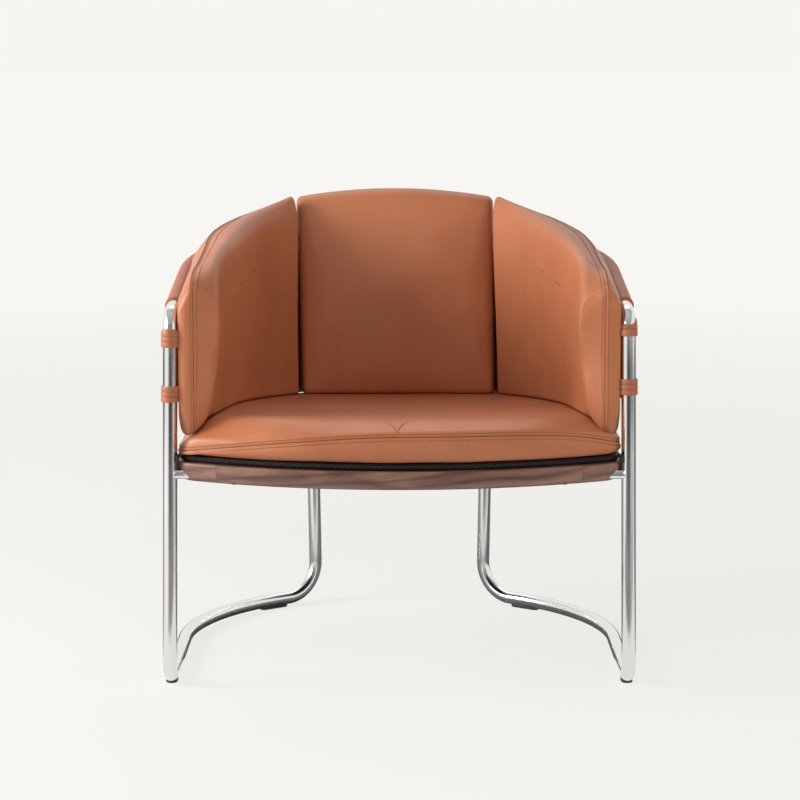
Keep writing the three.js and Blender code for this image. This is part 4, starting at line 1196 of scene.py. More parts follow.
# Arm wraps: leather sleeves with a turned front lip, a butted join and a hand-sewn seam below
for label, side in SIDES:
    depths = [WRAP_FRONT + d for d, _ in WRAP_LIP]
    depths += [mix(WRAP_FRONT + WRAP_LIP_END, WRAP_JOIN_DEPTH - WRAP_JOIN_CLEAR, i / 12) for i in range(13)]
    depths += [WRAP_JOIN_DEPTH + d for d in WRAP_JOIN_RUNS]
    depths += [mix(WRAP_JOIN_DEPTH + WRAP_JOIN_CLEAR, RAIL_ARC_DEPTH, i / 20) for i in range(20)]
    line = [Vector((RAIL_X, d, rail_h(d))) for d in depths]
    swing = math.radians(WRAP_END_TURN)
    line += [hoop_point(swing * i / 14) for i in range(14)]
    line += [hoop_point(swing - back / RAIL_X) for back, _ in WRAP_TAIL]
    between = len(line) - len(WRAP_LIP) - len(WRAP_TAIL)
    swells = [swell for _, swell in WRAP_LIP] + [0] * between + [swell for _, swell in WRAP_TAIL]
    radii = []
    for p, swell in zip(line, swells):
        radius = WRAP_R + WRAP_WAVE * ripple(*p, WRAP_WAVE_SIZE) + swell
        if abs(p.y - WRAP_JOIN_DEPTH) < WRAP_JOIN_HALF:
            radius -= WRAP_JOIN_SINK if p.y == WRAP_JOIN_DEPTH else WRAP_JOIN_SIDE_SINK
        radii.append(radius)
    line = [Vector((side * p.x, p.y, p.z)) for p in line]
    build = tube(Builder(), line, radii, sides=40)
    build.finish(f"{label}_wrap", STRAP_HIDE, "strap_leather", nodes=[f"{label}_arm_wrap"], sharp=50)
    seam = []
    sewn = slice(len(WRAP_LIP), -len(WRAP_TAIL))
    for p, (tangent, _, _) in zip(line[sewn], frames(line)[sewn]):
        out = Vector((-side * WRAP_SEAM_SHARE, 0, -1)).normalized()
        out = (out - tangent * out.dot(tangent)).normalized()
        seam.append((p + out * (WRAP_R + WRAP_SEAM_LIFT), out, tangent.cross(out)))
    build = Builder()
    for offset in (-WRAP_SEAM_HALF, WRAP_SEAM_HALF):
        row = []
        for p, out, across in seam:
            spot = p + across * offset - out * (offset**2 / (2 * WRAP_R))
            row.append((spot, (out + across * (offset / WRAP_R)).normalized()))
        stitches(build, row, **WRAP_STITCH)
    tube(build, [p for p, _, _ in seam], WRAP_RIDGE_R, sides=6)
    build.finish(f"{label}_wrap_stitching", THREAD_AND_HOLE_SHADE, "cushion_leather", uvs=None)


# Seat cushion surface
def crown_share(inset, shoulder, power):
    return 1 - (1 - clamp(inset / shoulder)) ** power


SEAT_CORNER_X = SEAT_X - RING_CORNER_R
seat_bow = RING_FRONT_R - SEAT_FRONT
seat_corner_depth = seat_bow - math.sqrt((RING_FRONT_R - RING_CORNER_R) ** 2 - SEAT_CORNER_X**2)


def seat_seam(x, depth):
    if depth < RING_CORNER_R:
        side = 1 if x > 0 else -1
        return SEAT_SEAM_H - SEAT_SEAM_DROPS[side] * min(abs(x) / SEAT_X, 1) ** SEAT_SEAM_POWERS[side]
    return SEAT_SEAM_H - mix(SEAT_SEAM_DROPS[-1], SEAT_SEAM_DROPS[1], smooth((x / SEAT_X + 1) / 2))


def seat_inset(x, depth):
    x = abs(x)
    if depth >= RING_REAR_DEPTH:
        rear = SEAT_REAR - RING_REAR_DEPTH
        return (1 - math.hypot(x / SEAT_X, (depth - RING_REAR_DEPTH) / rear)) * rear
    if x > SEAT_CORNER_X and depth < seat_corner_depth:
        return RING_CORNER_R - math.hypot(x - SEAT_CORNER_X, depth - seat_corner_depth)
    return min(SEAT_X - x, RING_FRONT_R - math.hypot(x, seat_bow - depth))


def seat_top(depth):
    return SEAT_TOP - SEAT_FALL_SHARE * (depth - SEAT_TOP_DEPTH)


def seat_surface(x, depth, inset=None):
    if inset is None:
        inset = seat_inset(x, depth)
    shoulder = SEAT_SHOULDER
    if depth < RING_CORNER_R:
        sideways = smooth(abs(x) / SEAT_SHOULDER_REACH)
        shoulder = mix(SEAT_FRONT_SHOULDER_SHARE * SEAT_SHOULDER, SEAT_SHOULDER, sideways)
    wide = clamp(x * SEAT_X / max(SEAT_X - inset, SEAT_LEAST_X), -SEAT_X, SEAT_X)
    edge = seat_seam(wide, depth) if depth < RING_CORNER_R else seat_seam(x, depth)
    power = mix(SEAT_FRONT_POWER, SEAT_SIDE_POWER, smooth((abs(x) - SEAT_POWER_FROM) / SEAT_POWER_REACH))
    return mix(edge, seat_top(depth), crown_share(inset, shoulder, power))


def seat_side(x, depth):
    """How fully a point is in one of the seat's front corners, ahead of the wings."""
    sideways = smooth((abs(x) - SEAT_SIDE_FROM) / SEAT_SIDE_REACH)
    return sideways * (1 - smooth((depth - SEAT_SIDE_DEPTH) / SEAT_SIDE_FADE))


def seat_puff(x, depth, inset):
    corner = seat_side(x, depth)
    reach = mix(SEAT_PUFF_REACH, SEAT_SIDE_PUFF_REACH, corner)
    return mix(SEAT_PUFF, SEAT_SIDE_PUFFS[1 if x > 0 else -1], corner) * math.exp(-inset / reach)


def seam_step(x, depth, drop):
    """Height of a row beside the seam; the rows above the stitches open out in the front corners."""
    rise = SEAT_SIDE_RISES[1 if x > 0 else -1]
    opening = rise * seat_side(x, depth) * max(drop - STITCH_ROW_RISE, 0)
    return seat_seam(x, depth) + drop + opening


def seat_row(inset, height, share=None):
    points = outline(inset, SEAT_X, SEAT_FRONT, SEAT_REAR)
    return raised(scaled(points, share) if share else points, height)


seat_rows = [seat_row(SEAT_UNDER_IN, SEAT_LOW, share) for share in SEAT_UNDER_SHARES]
seat_rows += [seat_row(inset, SEAT_LOW + rise) for inset, rise in SEAT_UNDER_EDGE]
for share, inset in SEAT_BOX_ROWS:
    seat_rows.append(seat_row(inset, lambda x, y: mix(SEAT_LOW + SEAT_BOX_RISE, seat_seam(x, y), share)))
seam_row = len(seat_rows) + [inset for inset, _ in SEAT_SEAM_ROWS].index(SEAT_SEAM_IN)
for inset, drop in SEAT_SEAM_ROWS:
    seat_rows.append(seat_row(inset, lambda x, y: seam_step(x, y, drop)))
for inset in SEAT_CROWN_INSETS:
    seat_rows.append(seat_row(inset, lambda x, y: seat_surface(x, y, inset) + seat_puff(x, y, inset)))
seat_rows += [seat_row(SEAT_TOP_IN, seat_surface, share) for share in SEAT_TOP_SHARES]


# The wing's outline on the shell: share along it, height; thickness runs inwards from the shell
def spline(points, t):
    spans = len(points) - 1
    at = clamp(t) * spans
    i = min(int(at), spans - 1)
    w = at - i
    p = [Vector(points[max(0, min(k, spans))]) for k in (i - 1, i, i + 1, i + 2)]
    return (
        p[1] * 2 + (p[2] - p[0]) * w + (p[0] * 2 - p[1] * 5 + p[2] * 4 - p[3]) * w**2
        + (p[1] * 3 - p[0] - p[2] * 3 + p[3]) * w**3
    ) * 0.5


wing_straight = SHELL_ARC_DEPTH - WING_FRONT
wing_length = wing_straight + WING_X * math.radians(WING_END_TURN)
wing_round_r = SHELL_ROUND - (SHELL_X - WING_X)
BACK_LOW = seat_top(BACK_FACE_DEPTH - BACK_CROWN) + BACK_SIT
COLUMNS = 64
COLUMN_POWER = 1.2
ENDS = 25
END_STEPS = 8


def wing_outer(share):
    s = share * wing_length
    if s < wing_straight:
        return Vector((WING_X, WING_FRONT + s))
    a = (s - wing_straight) / WING_X
    return Vector((WING_X * math.cos(a), SHELL_ARC_DEPTH + wing_round_r * math.sin(a)))


def wing_thick(s):
    share = clamp(s / wing_length)
    return (spline(WING_PLAN, share) - wing_outer(share)).length


def wing_place(s, height, t):
    """A point at a run along the shell, a height and a distance in from the shell."""
    share = clamp(s / wing_length)
    outer = wing_outer(share)
    across = spline(WING_PLAN, share) - outer
    q = outer + across.normalized() * t
    turning = smooth((share - WING_LEAN_START) / (1 - WING_LEAN_START))
    lean = WING_LEAN * BACK_LEAN_SHARE * max(height - BACK_LOW, 0) * turning
    return Vector((q.x, q.y + min(s, 0) + lean * t / across.length, height))


def wing_top(s):
    share = clamp(s / wing_length)
    front = math.sqrt(1 - (1 - clamp(share / WING_FRONT_RUN_SHARE)) ** 2)
    return WING_FRONT_TOP_H + WING_FRONT_RISE * front + WING_RISE * share**WING_RISE_POWER


def wing_roll(s):
    """How far the inner panel rises over its top seam."""
    start, run = WING_ROLL_SHARES
    return WING_ROLL * smooth((s / wing_length - start) / run)


def wing_floor(s, t):
    p = wing_place(s, 0, t)
    return seat_surface(p.x, p.y, max(seat_inset(p.x, p.y), 0))


def edge_loop(low, high, front, rear):
    return low + rear + high[::-1] + front[::-1]


def rounded_end(s_edge, s_inner, h_low, h_high, r_low, r_high, lean=0.0):
    points = []
    middle = ENDS - 2 * (END_STEPS - 1)
    for i in range(1, END_STEPS):
        a = math.pi / 2 * i / END_STEPS
        points.append((mix(s_inner, s_edge, math.sin(a)), h_low + r_low * (1 - math.cos(a))))
    for i in range(middle):
        points.append((s_edge, mix(h_low + r_low, h_high - r_high, i / (middle - 1))))
    for i in range(END_STEPS - 1, 0, -1):
        a = math.pi / 2 * i / END_STEPS
        points.append((mix(s_inner, s_edge, math.sin(a)), h_high - r_high * (1 - math.cos(a))))
    return [(s + lean * (h - h_low) / (h_high - h_low), h) for s, h in points]


def outward_of(loop):
    result = []
    for i in range(len(loop)):
        ahead, behind = loop[(i + 1) % len(loop)], loop[i - 1]
        result.append(Vector((ahead[1] - behind[1], behind[0] - ahead[0])).normalized())
    return result


def spine_of(loop, s_start, s_stop, middle=None):
    """Where each point of a loop heads when the loop shrinks."""
    result = []
    for i in range(len(loop)):
        if i <= COLUMNS:
            j = i
        elif i <= COLUMNS + ENDS:
            j = COLUMNS
        elif i <= 2 * COLUMNS + 1 + ENDS:
            j = 2 * COLUMNS + 1 + ENDS - i
        else:
            j = 0
        low, high = loop[j], loop[2 * COLUMNS + 1 + ENDS - j]
        height = middle if middle else (low[1] + high[1]) / 2
        result.append((mix(s_start, s_stop, j / COLUMNS), height))
    return result


def shrink(loop, spine, inset):
    result = []
    for (s, h), (ms, mh) in zip(loop, spine):
        w = min(inset / math.hypot(ms - s, mh - h), SHRINK_SHARE)
        result.append((mix(s, ms, w), mix(h, mh, w)))
    return result


def patch(loop):
    """Inner points of the grid that fills a loop, as rows from bottom to top."""
    low = loop[:COLUMNS + 1]
    rear = loop[COLUMNS + 1:COLUMNS + 1 + ENDS]
    high = loop[COLUMNS + 1 + ENDS:2 * COLUMNS + 2 + ENDS][::-1]
    front = loop[2 * COLUMNS + 2 + ENDS:][::-1]
    rows = []
    for r in range(1, ENDS + 1):
        v = r / (ENDS + 1)
        row = []
        for c in range(1, COLUMNS):
            u = c / COLUMNS
            point = []
            for k in (0, 1):
                low_k, high_k = (1 - v) * low[c][k], v * high[c][k]
                value = low_k + high_k + (1 - u) * front[r - 1][k] + u * rear[r - 1][k]
                value -= (1 - u) * ((1 - v) * low[0][k] + v * high[0][k])
                value -= u * ((1 - v) * low[-1][k] + v * high[-1][k])
                point.append(value)
            row.append(tuple(point))
        rows.append(row)
    return rows


def pillow(rows, first_patch, last_patch):
    """A closed cushion from loops, with a grid of points filling its first and its last loop."""
    builder = Builder().rows(rows)
    count = len(rows[0])
    for loop_start, grid, flip in ((0, first_patch, True), (count * (len(rows) - 1), last_patch, False)):
        inner = len(builder.verts)
        for row in grid:
            builder.verts.extend(row)

        def index(r, c):
            if r == 0:
                return loop_start + c
            if r == ENDS + 1:
                return loop_start + 2 * COLUMNS + 1 + ENDS - c
            if c == 0:
                return loop_start + count - r
            if c == COLUMNS:
                return loop_start + COLUMNS + r
            return inner + (r - 1) * (COLUMNS - 1) + c - 1

        for r in range(ENDS + 1):
            for c in range(COLUMNS):
                face = (index(r, c), index(r, c + 1), index(r + 1, c + 1), index(r + 1, c))
                builder.faces.append(face[::-1] if flip else face)
    return builder


def crease(x, y, z, amount, size):
    """The soft unevenness that hide over foam shows."""
    return amount * (ripple(x, y, z, size) + 0.5 * ripple(x + FOLD_SHIFT, y, z, size / FOLD_FINE_RATIO))


def swayed(p):
    """Loose cushions slide a little to the left, most at their top."""
    share = clamp((p.z - BACK_LOW) / (BACK_TOP_H - BACK_LOW))
    reach = smooth((p.y - SWAY_DEPTHS[0]) / (SWAY_DEPTHS[1] - SWAY_DEPTHS[0]))
    return p - Vector((mix(SWAY_LOW, SWAY_TOP, share) * reach, 0, 0))


def settled(p):
    """A point of a cushion that rests on the seat."""
    if seat_inset(p.x, p.y) > 0:
        p.z = max(p.z, seat_surface(p.x, p.y) + SEAT_SIT)
    return p


def wing_edge(sizes, bottom, top, lean=0.0):
    """The outline of one wing panel, in runs along the shell and heights."""
    start, stop = sizes["start"], wing_length - sizes["stop"]
    spots = [mix(start, stop, (i / COLUMNS) ** COLUMN_POWER) for i in range(COLUMNS + 1)]
    low = [(s, bottom(s)) for s in spots]
    high = [(s, top(s)) for s in spots]
    front = rounded_end(sizes["front"], start, low[0][1], high[0][1], *sizes["front_rs"])
    rear = rounded_end(wing_length - sizes["end"], stop, low[-1][1], high[-1][1], *sizes["rear_rs"], lean)
    return edge_loop(low, high, front, rear)


def wing_outer_low(s):
    return wing_floor(s, WING_BOX) + mix(*WING_OUTER_RISES, smooth(s / WING_OUTER_RISE_REACH))


def wing_outer_high(s):
    p = wing_outer(clamp(s / wing_length))
    return min(rail_h(p.y) + TUBE_R + WING_SHOULDER, wing_top(s) - WING_TOP_SINK) - WING_OUTER_DROP


def wing_inner_low(s):
    return wing_floor(s, WING_BOX) + WING_INNER_RISE - WING_TIP_DROP * (1 - smooth(s / WING_TIP_REACH))


def wing_inner_high(s):
    return wing_top(s) - WING_TOP_SINK - wing_roll(s)


def wing_crowned(s, h):
    """Distance of the inner panel from the shell, at its full crown."""
    share = clamp((h - SEAT_TOP) / (wing_top(s) - SEAT_TOP))
    ahead = 1 - smooth(s / WING_TAPER_REACH)
    crown = WING_CROWN * math.sin(math.pi * share**WING_CROWN_POWER) - WING_TAPER * ahead * (1 - share) ** 2
    return wing_thick(s) + crown


def wing_inner(s, h, t):
    return settled(wing_place(s, h, t + crease(s, h, WING_FOLD_PLACE, WING_FOLD, FOLD_SIZE)))


def wing_shell(s, h):
    return settled(wing_place(s, h, WING_SHELL_GAP))


def wing_parts():
    """Loops from the shell round the boxing to the inner panel, two patches and the seam's row."""
    outer_edge = wing_edge(WING_OUTER, wing_outer_low, wing_outer_high)
    inner_edge = wing_edge(WING_INNER, wing_inner_low, wing_inner_high, WING_REAR_LEAN)
    normals = outward_of(inner_edge)
    boxes, rounds = [], []
    for (s, h), n in zip(inner_edge, normals):
        up, down = max(n.y, 0) ** 2, max(-n.y, 0) ** 2
        ahead, behind = max(-n.x, 0) ** 2, max(n.x, 0) ** 2
        share = s / wing_length
        top_box = WING_BOX + WING_BOX_GROWTH * s
        low_box = WING_BOX * (down * mix(*WING_BOX_SHARES, share) + ahead)
        boxes.append(low_box + top_box * up + (wing_thick(s) - WING_REAR_BOX) * behind)
        low_round = mix(WING_TIP_ROUND, WING_LOW_ROUND, smooth(s / WING_LOW_ROUND_REACH))
        end_rounds = WING_NOSE * ahead, WING_REAR_ROUND * behind
        rounds.append(mix(*WING_TOP_ROUNDS, share) * up + low_round * down + end_rounds[0] + end_rounds[1])
    spine_out = spine_of(outer_edge, SPINE_IN, wing_length - SPINE_IN)
    spine_in = spine_of(inner_edge, SPINE_IN, wing_length - SPINE_IN)
    rows = [[wing_shell(*p) for p in shrink(outer_edge, spine_out, inset)] for inset in WING_OUTER_INSETS]
    outer_patch = patch(shrink(outer_edge, spine_out, WING_OUTER_INSETS[0]))
    first = [[wing_shell(*p) for p in row] for row in outer_patch]
    for w in WING_BOX_ROW_SHARES:
        row = []
        for (s0, h0), (s1, h1), n, box in zip(outer_edge, inner_edge, normals, boxes):
            down = max(-n.y, 0) ** 2
            sw = mix(w, math.sin(math.pi / 2 * w), down)
            tw = mix(w, 1 - math.cos(math.pi / 2 * w), down)
            bulge = n * (WING_BOX_BULGE * math.sin(math.pi * w))
            t = WING_SHELL_GAP + (box - WING_BOX_END) * tw
            row.append(settled(wing_place(mix(s0, s1, sw) + bulge.x, mix(h0, h1, sw) + bulge.y, t)))
        rows.append(row)
    seam = len(rows) + len(WING_SEAM_ROWS) - 1
    for back, sink in WING_SEAM_ROWS:
        rows.append([
            settled(wing_place(s - n.x * sink, h - n.y * sink, box - back))
            for (s, h), n, box in zip(inner_edge, normals, boxes)
        ])
    for inset in WING_INNER_INSETS:
        row = []
        for (s, h), n, box, round_in in zip(shrink(inner_edge, spine_in, inset), normals, boxes, rounds):
            w = clamp(inset / round_in)
            domed = 1 - (1 - w) ** WING_DOME_POWER
            over = wing_roll(s) * math.sin(math.pi * w) + round_in * (w - w**3) * wing_roll(s) / WING_ROLL
            t = mix(box + WING_DOME_START, wing_crowned(s, h), domed)
            row.append(wing_inner(s, h + over * max(n.y, 0) ** 2, t))
        rows.append(row)
    inner_patch = patch(shrink(inner_edge, spine_in, WING_INNER_INSETS[-1]))
    last = [[wing_inner(s, h, wing_crowned(s, h)) for s, h in row] for row in inner_patch]
    return rows, first, last, seam


def back_half(height):
    return mix(BACK_X, BACK_TOP_X, clamp((height - BACK_LOW) / (BACK_TOP_H - BACK_LOW)))


def back_rear(x, height):
    x = clamp(abs(x) / (SHELL_X - SHELL_T), 0, BACK_REAR_SHARE)
    reach = SHELL_ROUND - SHELL_T - BACK_REAR_GAP
    return SHELL_ARC_DEPTH + shell_lean(height) + reach * math.sqrt(1 - x**2)


def back_edge(wide_low, wide_high, low_h, top_drop):
    """The outline of one back panel, in x and height."""
    low, high = [], []
    for i in range(COLUMNS + 1):
        u = mix(-1, 1, i / COLUMNS)
        x = u * (wide_high - BACK_CORNER_R)
        low.append((u * (wide_low - BACK_CORNER_R), low_h))
        high.append((x, BACK_TOP_H - top_drop - BACK_CORNER_DROP * (x / BACK_TOP_X) ** 2))
    ends = []
    for sign, j in ((-1, 0), (1, COLUMNS)):
        low_end, high_end = low[j][1], high[j][1]
        inner_x = sign * (wide_low - BACK_CORNER_R)
        points = rounded_end(sign * wide_low, inner_x, low_end, high_end, BACK_CORNER_R, BACK_CORNER_R)
        rise = high_end - low_end
        ends.append([(x + sign * (wide_high - wide_low) * (h - low_end) / rise, h) for x, h in points])
    return edge_loop(low, high, *ends)


def back_plane(height):
    return BACK_FACE_DEPTH + BACK_LEAN_SHARE * (height - BACK_LOW)


def back_face(x, h, away):
    """A point of the front panel, at a distance in from its edge."""
    rounding = BACK_ROUND * (1 - math.sqrt(1 - (1 - clamp(away / BACK_ROUND)) ** 2))
    across_power, upward_power = BACK_CROWN_POWERS
    across = 1 - clamp(abs(x) / back_half(h)) ** across_power
    upward = 1 - clamp(abs(h - back_middle) / (BACK_TOP_H - BACK_LOW) * 2) ** upward_power
    across_share, upward_share = BACK_CROWN_SHARES
    crown = BACK_CROWN * mix(across_share, 1, across) * mix(upward_share, 1, upward)
    crown *= clamp(away / BACK_CROWN_REACH) ** 0.5
    fold = crease(x, h, BACK_FOLD_PLACE, BACK_FOLD, FOLD_SIZE) * clamp(away / BACK_FOLD_REACH)
    return Vector((x, back_plane(h) + rounding - crown + fold + BACK_FACE_SHIFT, h))


back_middle = mix(BACK_LOW, BACK_TOP_H, 0.5)


def back_parts():
    """Loops in the plane of x and height, from the rear panel round the boxing to the front panel."""
    front_edge = back_edge(BACK_X, BACK_TOP_X, BACK_LOW - BACK_FRONT_SINK, BACK_FRONT_DROP)
    rear_edge = back_edge(BACK_REAR_X - BACK_REAR_IN, BACK_TOP_X, BACK_LOW - BACK_REAR_SINK, BACK_REAR_DROP)
    spine_front = spine_of(front_edge, -SPINE_IN, SPINE_IN, back_middle)
    spine_rear = spine_of(rear_edge, -SPINE_IN, SPINE_IN, back_middle)

    def rear_point(x, h):
        return Vector((x, back_rear(x, h), h))

    rows = [[rear_point(*p) for p in shrink(rear_edge, spine_rear, inset)] for inset in BACK_REAR_INSETS]
    rear_patch = patch(shrink(rear_edge, spine_rear, BACK_REAR_INSETS[0]))
    first = [[rear_point(*p) for p in row] for row in rear_patch]
    for w in BACK_BOX_ROW_SHARES:
        row = []
        for (x0, h0), (x1, h1) in zip(rear_edge, front_edge):
            rear = back_rear(x0, h0) - BACK_BOX_IN
            front = back_plane(h1) + BACK_ROUND + BACK_BOX_IN
            row.append(Vector((mix(x0, x1, w), mix(rear, front, w), mix(h0, h1, math.sin(math.pi / 2 * w)))))
        rows.append(row)
    for inset in BACK_FACE_INSETS:
        rows.append([back_face(x, h, inset) for x, h in shrink(front_edge, spine_front, inset)])
    front_patch = patch(shrink(front_edge, spine_front, BACK_FACE_INSETS[-1]))
    last = [[back_face(x, h, BACK_MIDDLE_IN) for x, h in row] for row in front_patch]
    return rows, first, last


def normal_at(rows, r, i):
    row = rows[r]
    ahead = row[(i + 1) % len(row)] - row[i - 1]
    up = rows[min(r + 1, len(rows) - 1)][i] - rows[max(r - 1, 0)][i]
    normal = ahead.cross(up)
    return normal.normalized() if normal.length > TINY else Vector((0, 0, 1))


def soften(rows, seam, amount=0):
    """Moves points along their normals: broad waves everywhere, short puckers by the seam."""
    moved = []
    for r, row in enumerate(rows):
        new = []
        for i, p in enumerate(row):
            root = rows[seam][i]
            away = (root - p).length
            fade = PUCKER * math.exp(-away / PUCKER_REACH) * min(away / PUCKER_START, 1)
            pucker = fade * ripple(*root, PUCKER_SIZE)
            wide = WAVE_SHARE * PUCKER * math.exp(-away / WAVE_REACH) * ripple(*root, WAVE_SIZE)
            new.append(p + normal_at(rows, r, i) * (crease(*p, amount, SEAT_WAVE_SIZE) + pucker + wide))
        moved.append(new)
    return moved


def sew(name, rows, seam, facing=1):
    """Stitches on both sides of a cushion's seam, and a thin dark cord in it that paints the seam's shade."""
    build = Builder()
    for r in (seam - 2, seam + 2):
        line = [(p, normal_at(rows, r, i) * facing) for i, p in enumerate(rows[r])]
        stitches(build, line, closed=True)
    build.finish(f"{name}_stitching", THREAD_AND_HOLE_SHADE, "cushion_leather", uvs=None)
    cord = tube(Builder(), [*rows[seam], rows[seam][0]], SEAM_R, sides=6, caps=(False, False))
    cord.finish(f"{name}_seam", SEAM_SHADE, "cushion_leather", uvs=None)


# Seat cushion
seat_rows = soften(seat_rows, seam_row, SEAT_WAVE)
for row in seat_rows:
    for p in row:
        p.z = max(p.z, SEAT_LOW)
seat_build = Builder().rows(seat_rows, cap_start=True, cap_end=True)
seat_cushion = seat_build.finish(
    "seat_pad", HIDE, "cushion_leather", nodes=["seat_cushion"], uvs=None, levels=1,
)
sew("seat", seat_rows, seam_row)

# Fold lines that meet at the middle of the seat's front seam, as darker cords that paint the folds' shade
build = Builder()
across_power, back_power = SEAT_FOLD_POWERS
for side in (-1, 1):
    line, radii = [], []
    for i in range(SEAT_FOLD_STEPS + 1):
        w = i / SEAT_FOLD_STEPS
        x = side * (SEAT_FOLD_GAP + SEAT_FOLD_SPREAD * w**across_power) + SEAT_FOLD_X
        depth = -SEAT_FRONT + SEAT_FOLD_START + SEAT_FOLD_RUN * w**back_power
        level = seat_surface(x, depth) + seat_puff(x, depth, seat_inset(x, depth))
        line.append(Vector((x, depth, level - SEAT_FOLD_SINK)))
        radii.append(SEAT_FOLD_R * math.sin(math.pi * (0.25 + 0.75 * w)) + SEAT_FOLD_END_R)
    tube(build, line, radii, sides=8)
build.finish("seat_fold", FOLD_SHADE_HIDE, "cushion_leather", uvs=None)

# Wing cushions
for label, side in SIDES:
    rows, first, last, seam = wing_parts()
    rows = soften(rows, seam)
    flip = Vector((side, 1, 1))
    rows, first, last = ([[swayed(p * flip) for p in row] for row in part] for part in (rows, first, last))
    shape = pillow(rows, first, last)
    if side > 0:
        shape.faces = [face[::-1] for face in shape.faces]
    cushion = shape.finish(
        f"{label}_wing_pad", HIDE, "cushion_leather", nodes=[f"{label}_wing_cushion"], uvs=None, levels=1,
    )
    sew(f"{label}_wing", rows, seam, -side)

# Back cushion
rows, first, last = back_parts()
rows, first, last = ([[swayed(settled(p)) for p in row] for row in part] for part in (rows, first, last))
shape = pillow(rows, first, last)
cushion = shape.finish("back_pad", HIDE, "cushion_leather", nodes=["back_cushion"], uvs=None, levels=1)

# Frame parts that keep their shape
KEPT_PARTS = (
    ("frame_ferrule", STEEL), ("front_ring_screw", DARK_STEEL),
    ("rear_ring_screw", DARK_STEEL), ("ring_buffer", RUBBER),
)
for label, _ in SIDES:
    for name, material in KEPT_PARTS:
        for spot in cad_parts[f"{label}_{name}"].material_slots:
            spot.material = material


# Floor: shows as paper, and takes a faint shadow; to the object's own light it is a plain pale floor
def any_view_ray(tree):
    """1 for camera, glossy and transmission rays."""
    path = tree.nodes.new("ShaderNodeLightPath").outputs
    ray = path["Is Camera Ray"]
    for name in ("Is Glossy Ray", "Is Transmission Ray"):
        ray = feed(tree, add_node(tree, "ShaderNodeMath", operation="MAXIMUM"), ray, path[name]).outputs[0]
    return ray


def mixed(tree, factor, first, second, output):
    """Ends a tree with two shaders mixed by a factor."""
    node = tree.nodes.new("ShaderNodeMixShader")
    feed(tree, node, factor, first.outputs[0], second.outputs[0])
    put(tree, tree.nodes[output], Surface=node.outputs[0])


def flat_piece(name, corners, material):
    mesh = bpy.data.meshes.new(name)
    mesh.from_pydata(corners, [], [(0, 1, 2, 3)])
    mesh.materials.append(material)
    piece = bpy.data.objects.new(name, mesh)
    bpy.context.scene.collection.objects.link(piece)
    return piece


floor_material, tree, shader = new_material("floor_paper")
tree.nodes.remove(shader)
matt = add_node(tree, "ShaderNodeBsdfDiffuse", Color=(*PAPER, 1))
distance = add_node(tree, "ShaderNodeVectorMath", operation="LENGTH")
feed(tree, distance, texture_place(tree, "Object"))
glow_strength = add_node(
    tree, "ShaderNodeMapRange", Value=distance.outputs["Value"], From_Min=GLOW_REACH[0],
    From_Max=GLOW_REACH[1], To_Min=GLOW_STRENGTHS[0], To_Max=GLOW_STRENGTHS[1],
)
glow = add_node(tree, "ShaderNodeEmission", Color=(*PAPER, 1), Strength=glow_strength.outputs["Result"])
share = feed(tree, add_node(tree, "ShaderNodeMath", operation="MULTIPLY"), any_view_ray(tree))
share.inputs[1].default_value = GLOW_SHARE
mixed(tree, share.outputs[0], matt, glow, "Material Output")
floor_corners = [(x * FLOOR_HALF, y * FLOOR_HALF, 0) for x, y in ((-1, -1), (1, -1), (1, 1), (-1, 1))]
floor = flat_piece("floor", floor_corners, floor_material)


def card(name, corners, tone, height, glow=0):
    """A studio card that only shows in reflections, as the dark and grey bands along polished tubes."""
    material, tree, shader = new_material(name)
    colour = (*tone, 1)
    put(tree, shader, Base_Color=colour, Roughness=0.9, Emission_Color=colour, Emission_Strength=glow)
    piece = flat_piece(name, [(*corner, height)[:3] for corner in corners], material)
    piece.visible_camera = False
    piece.visible_diffuse = False
    piece.visible_shadow = False
    return piece


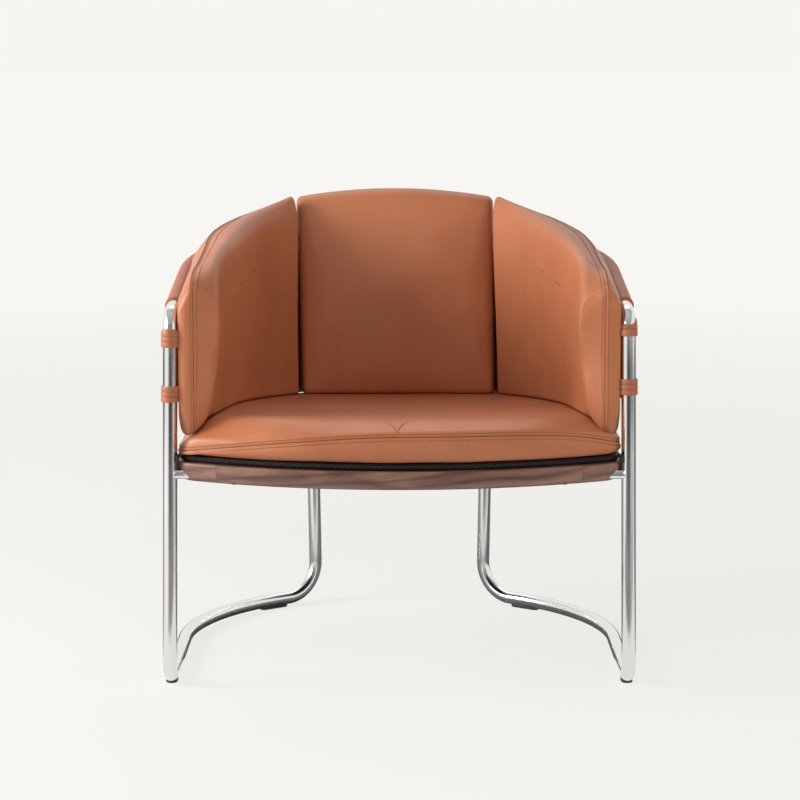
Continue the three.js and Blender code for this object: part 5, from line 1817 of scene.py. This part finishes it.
def ahead_card(name, runs, tone):
    """A card straight ahead of both front posts, between two distances from them."""
    (left, left_growth), (right, right_growth) = AHEAD_CARD_LEFT, AHEAD_CARD_RIGHT
    rows = [(left + left_growth * run, right + right_growth * run, FRONT_Y * MM - run) for run in runs]
    (near_left, near_right, near), (far_left, far_right, far) = rows
    corners = ((near_left, near), (near_right, near), (far_right, far), (far_left, far))
    return card(name, corners, tone, AHEAD_CARD_LIFT)


cards = [ahead_card(*values) for values in AHEAD_CARDS] + [card(*values) for values in CARDS]

# World: near white to the camera, plain fill to the object
world = bpy.data.worlds.new("studio")
bpy.context.scene.world = world
world.use_nodes = True
tree = world.node_tree
fill = put(tree, tree.nodes["Background"], Color=(*FILL, 1), Strength=FILL_STRENGTH)
seen = add_node(tree, "ShaderNodeBackground", Color=(*PAPER, 1), Strength=1.0)
mixed(tree, any_view_ray(tree), fill, seen, "World Output")


def lamp_from(name, azimuth, elevation, distance, size, power):
    """A lamp round the chair: azimuth to the left of straight ahead, elevation above the seat."""
    turn, rise = math.radians(azimuth), math.radians(elevation)
    flat = distance * math.cos(rise)
    aim = Vector(LAMP_AIM)
    at = aim + Vector((-flat * math.sin(turn), -flat * math.cos(turn), distance * math.sin(rise)))
    light = bpy.data.lights.new(name, "AREA")
    light.shape = "RECTANGLE"
    light.size, light.size_y = size
    light.energy = power
    lamp = bpy.data.objects.new(name, light)
    lamp.location = at
    lamp.rotation_euler = (aim - at).to_track_quat("-Z", "Y").to_euler()
    lamp.visible_glossy = name not in UNREFLECTED_LAMPS
    bpy.context.scene.collection.objects.link(lamp)


for values in LAMPS:
    lamp_from(*values)

# Camera
cam_data = bpy.data.cameras.new("camera")
cam_data.sensor_width = CAMERA_SENSOR
cam_data.lens = CAMERA_LENS
cam_data.shift_x, cam_data.shift_y = CAMERA_SHIFTS
cam_data.clip_end = CAMERA_FAR
camera = bpy.data.objects.new("camera", cam_data)
camera.location = Vector((0, FRONT_Y - CAMERA_BACK, CAMERA_H)) * MM
camera.rotation_euler = (math.radians(90 - CAMERA_PITCH), 0, 0)
bpy.context.scene.collection.objects.link(camera)
bpy.context.scene.camera = camera
bpy.context.scene.view_settings.view_transform = "Standard"
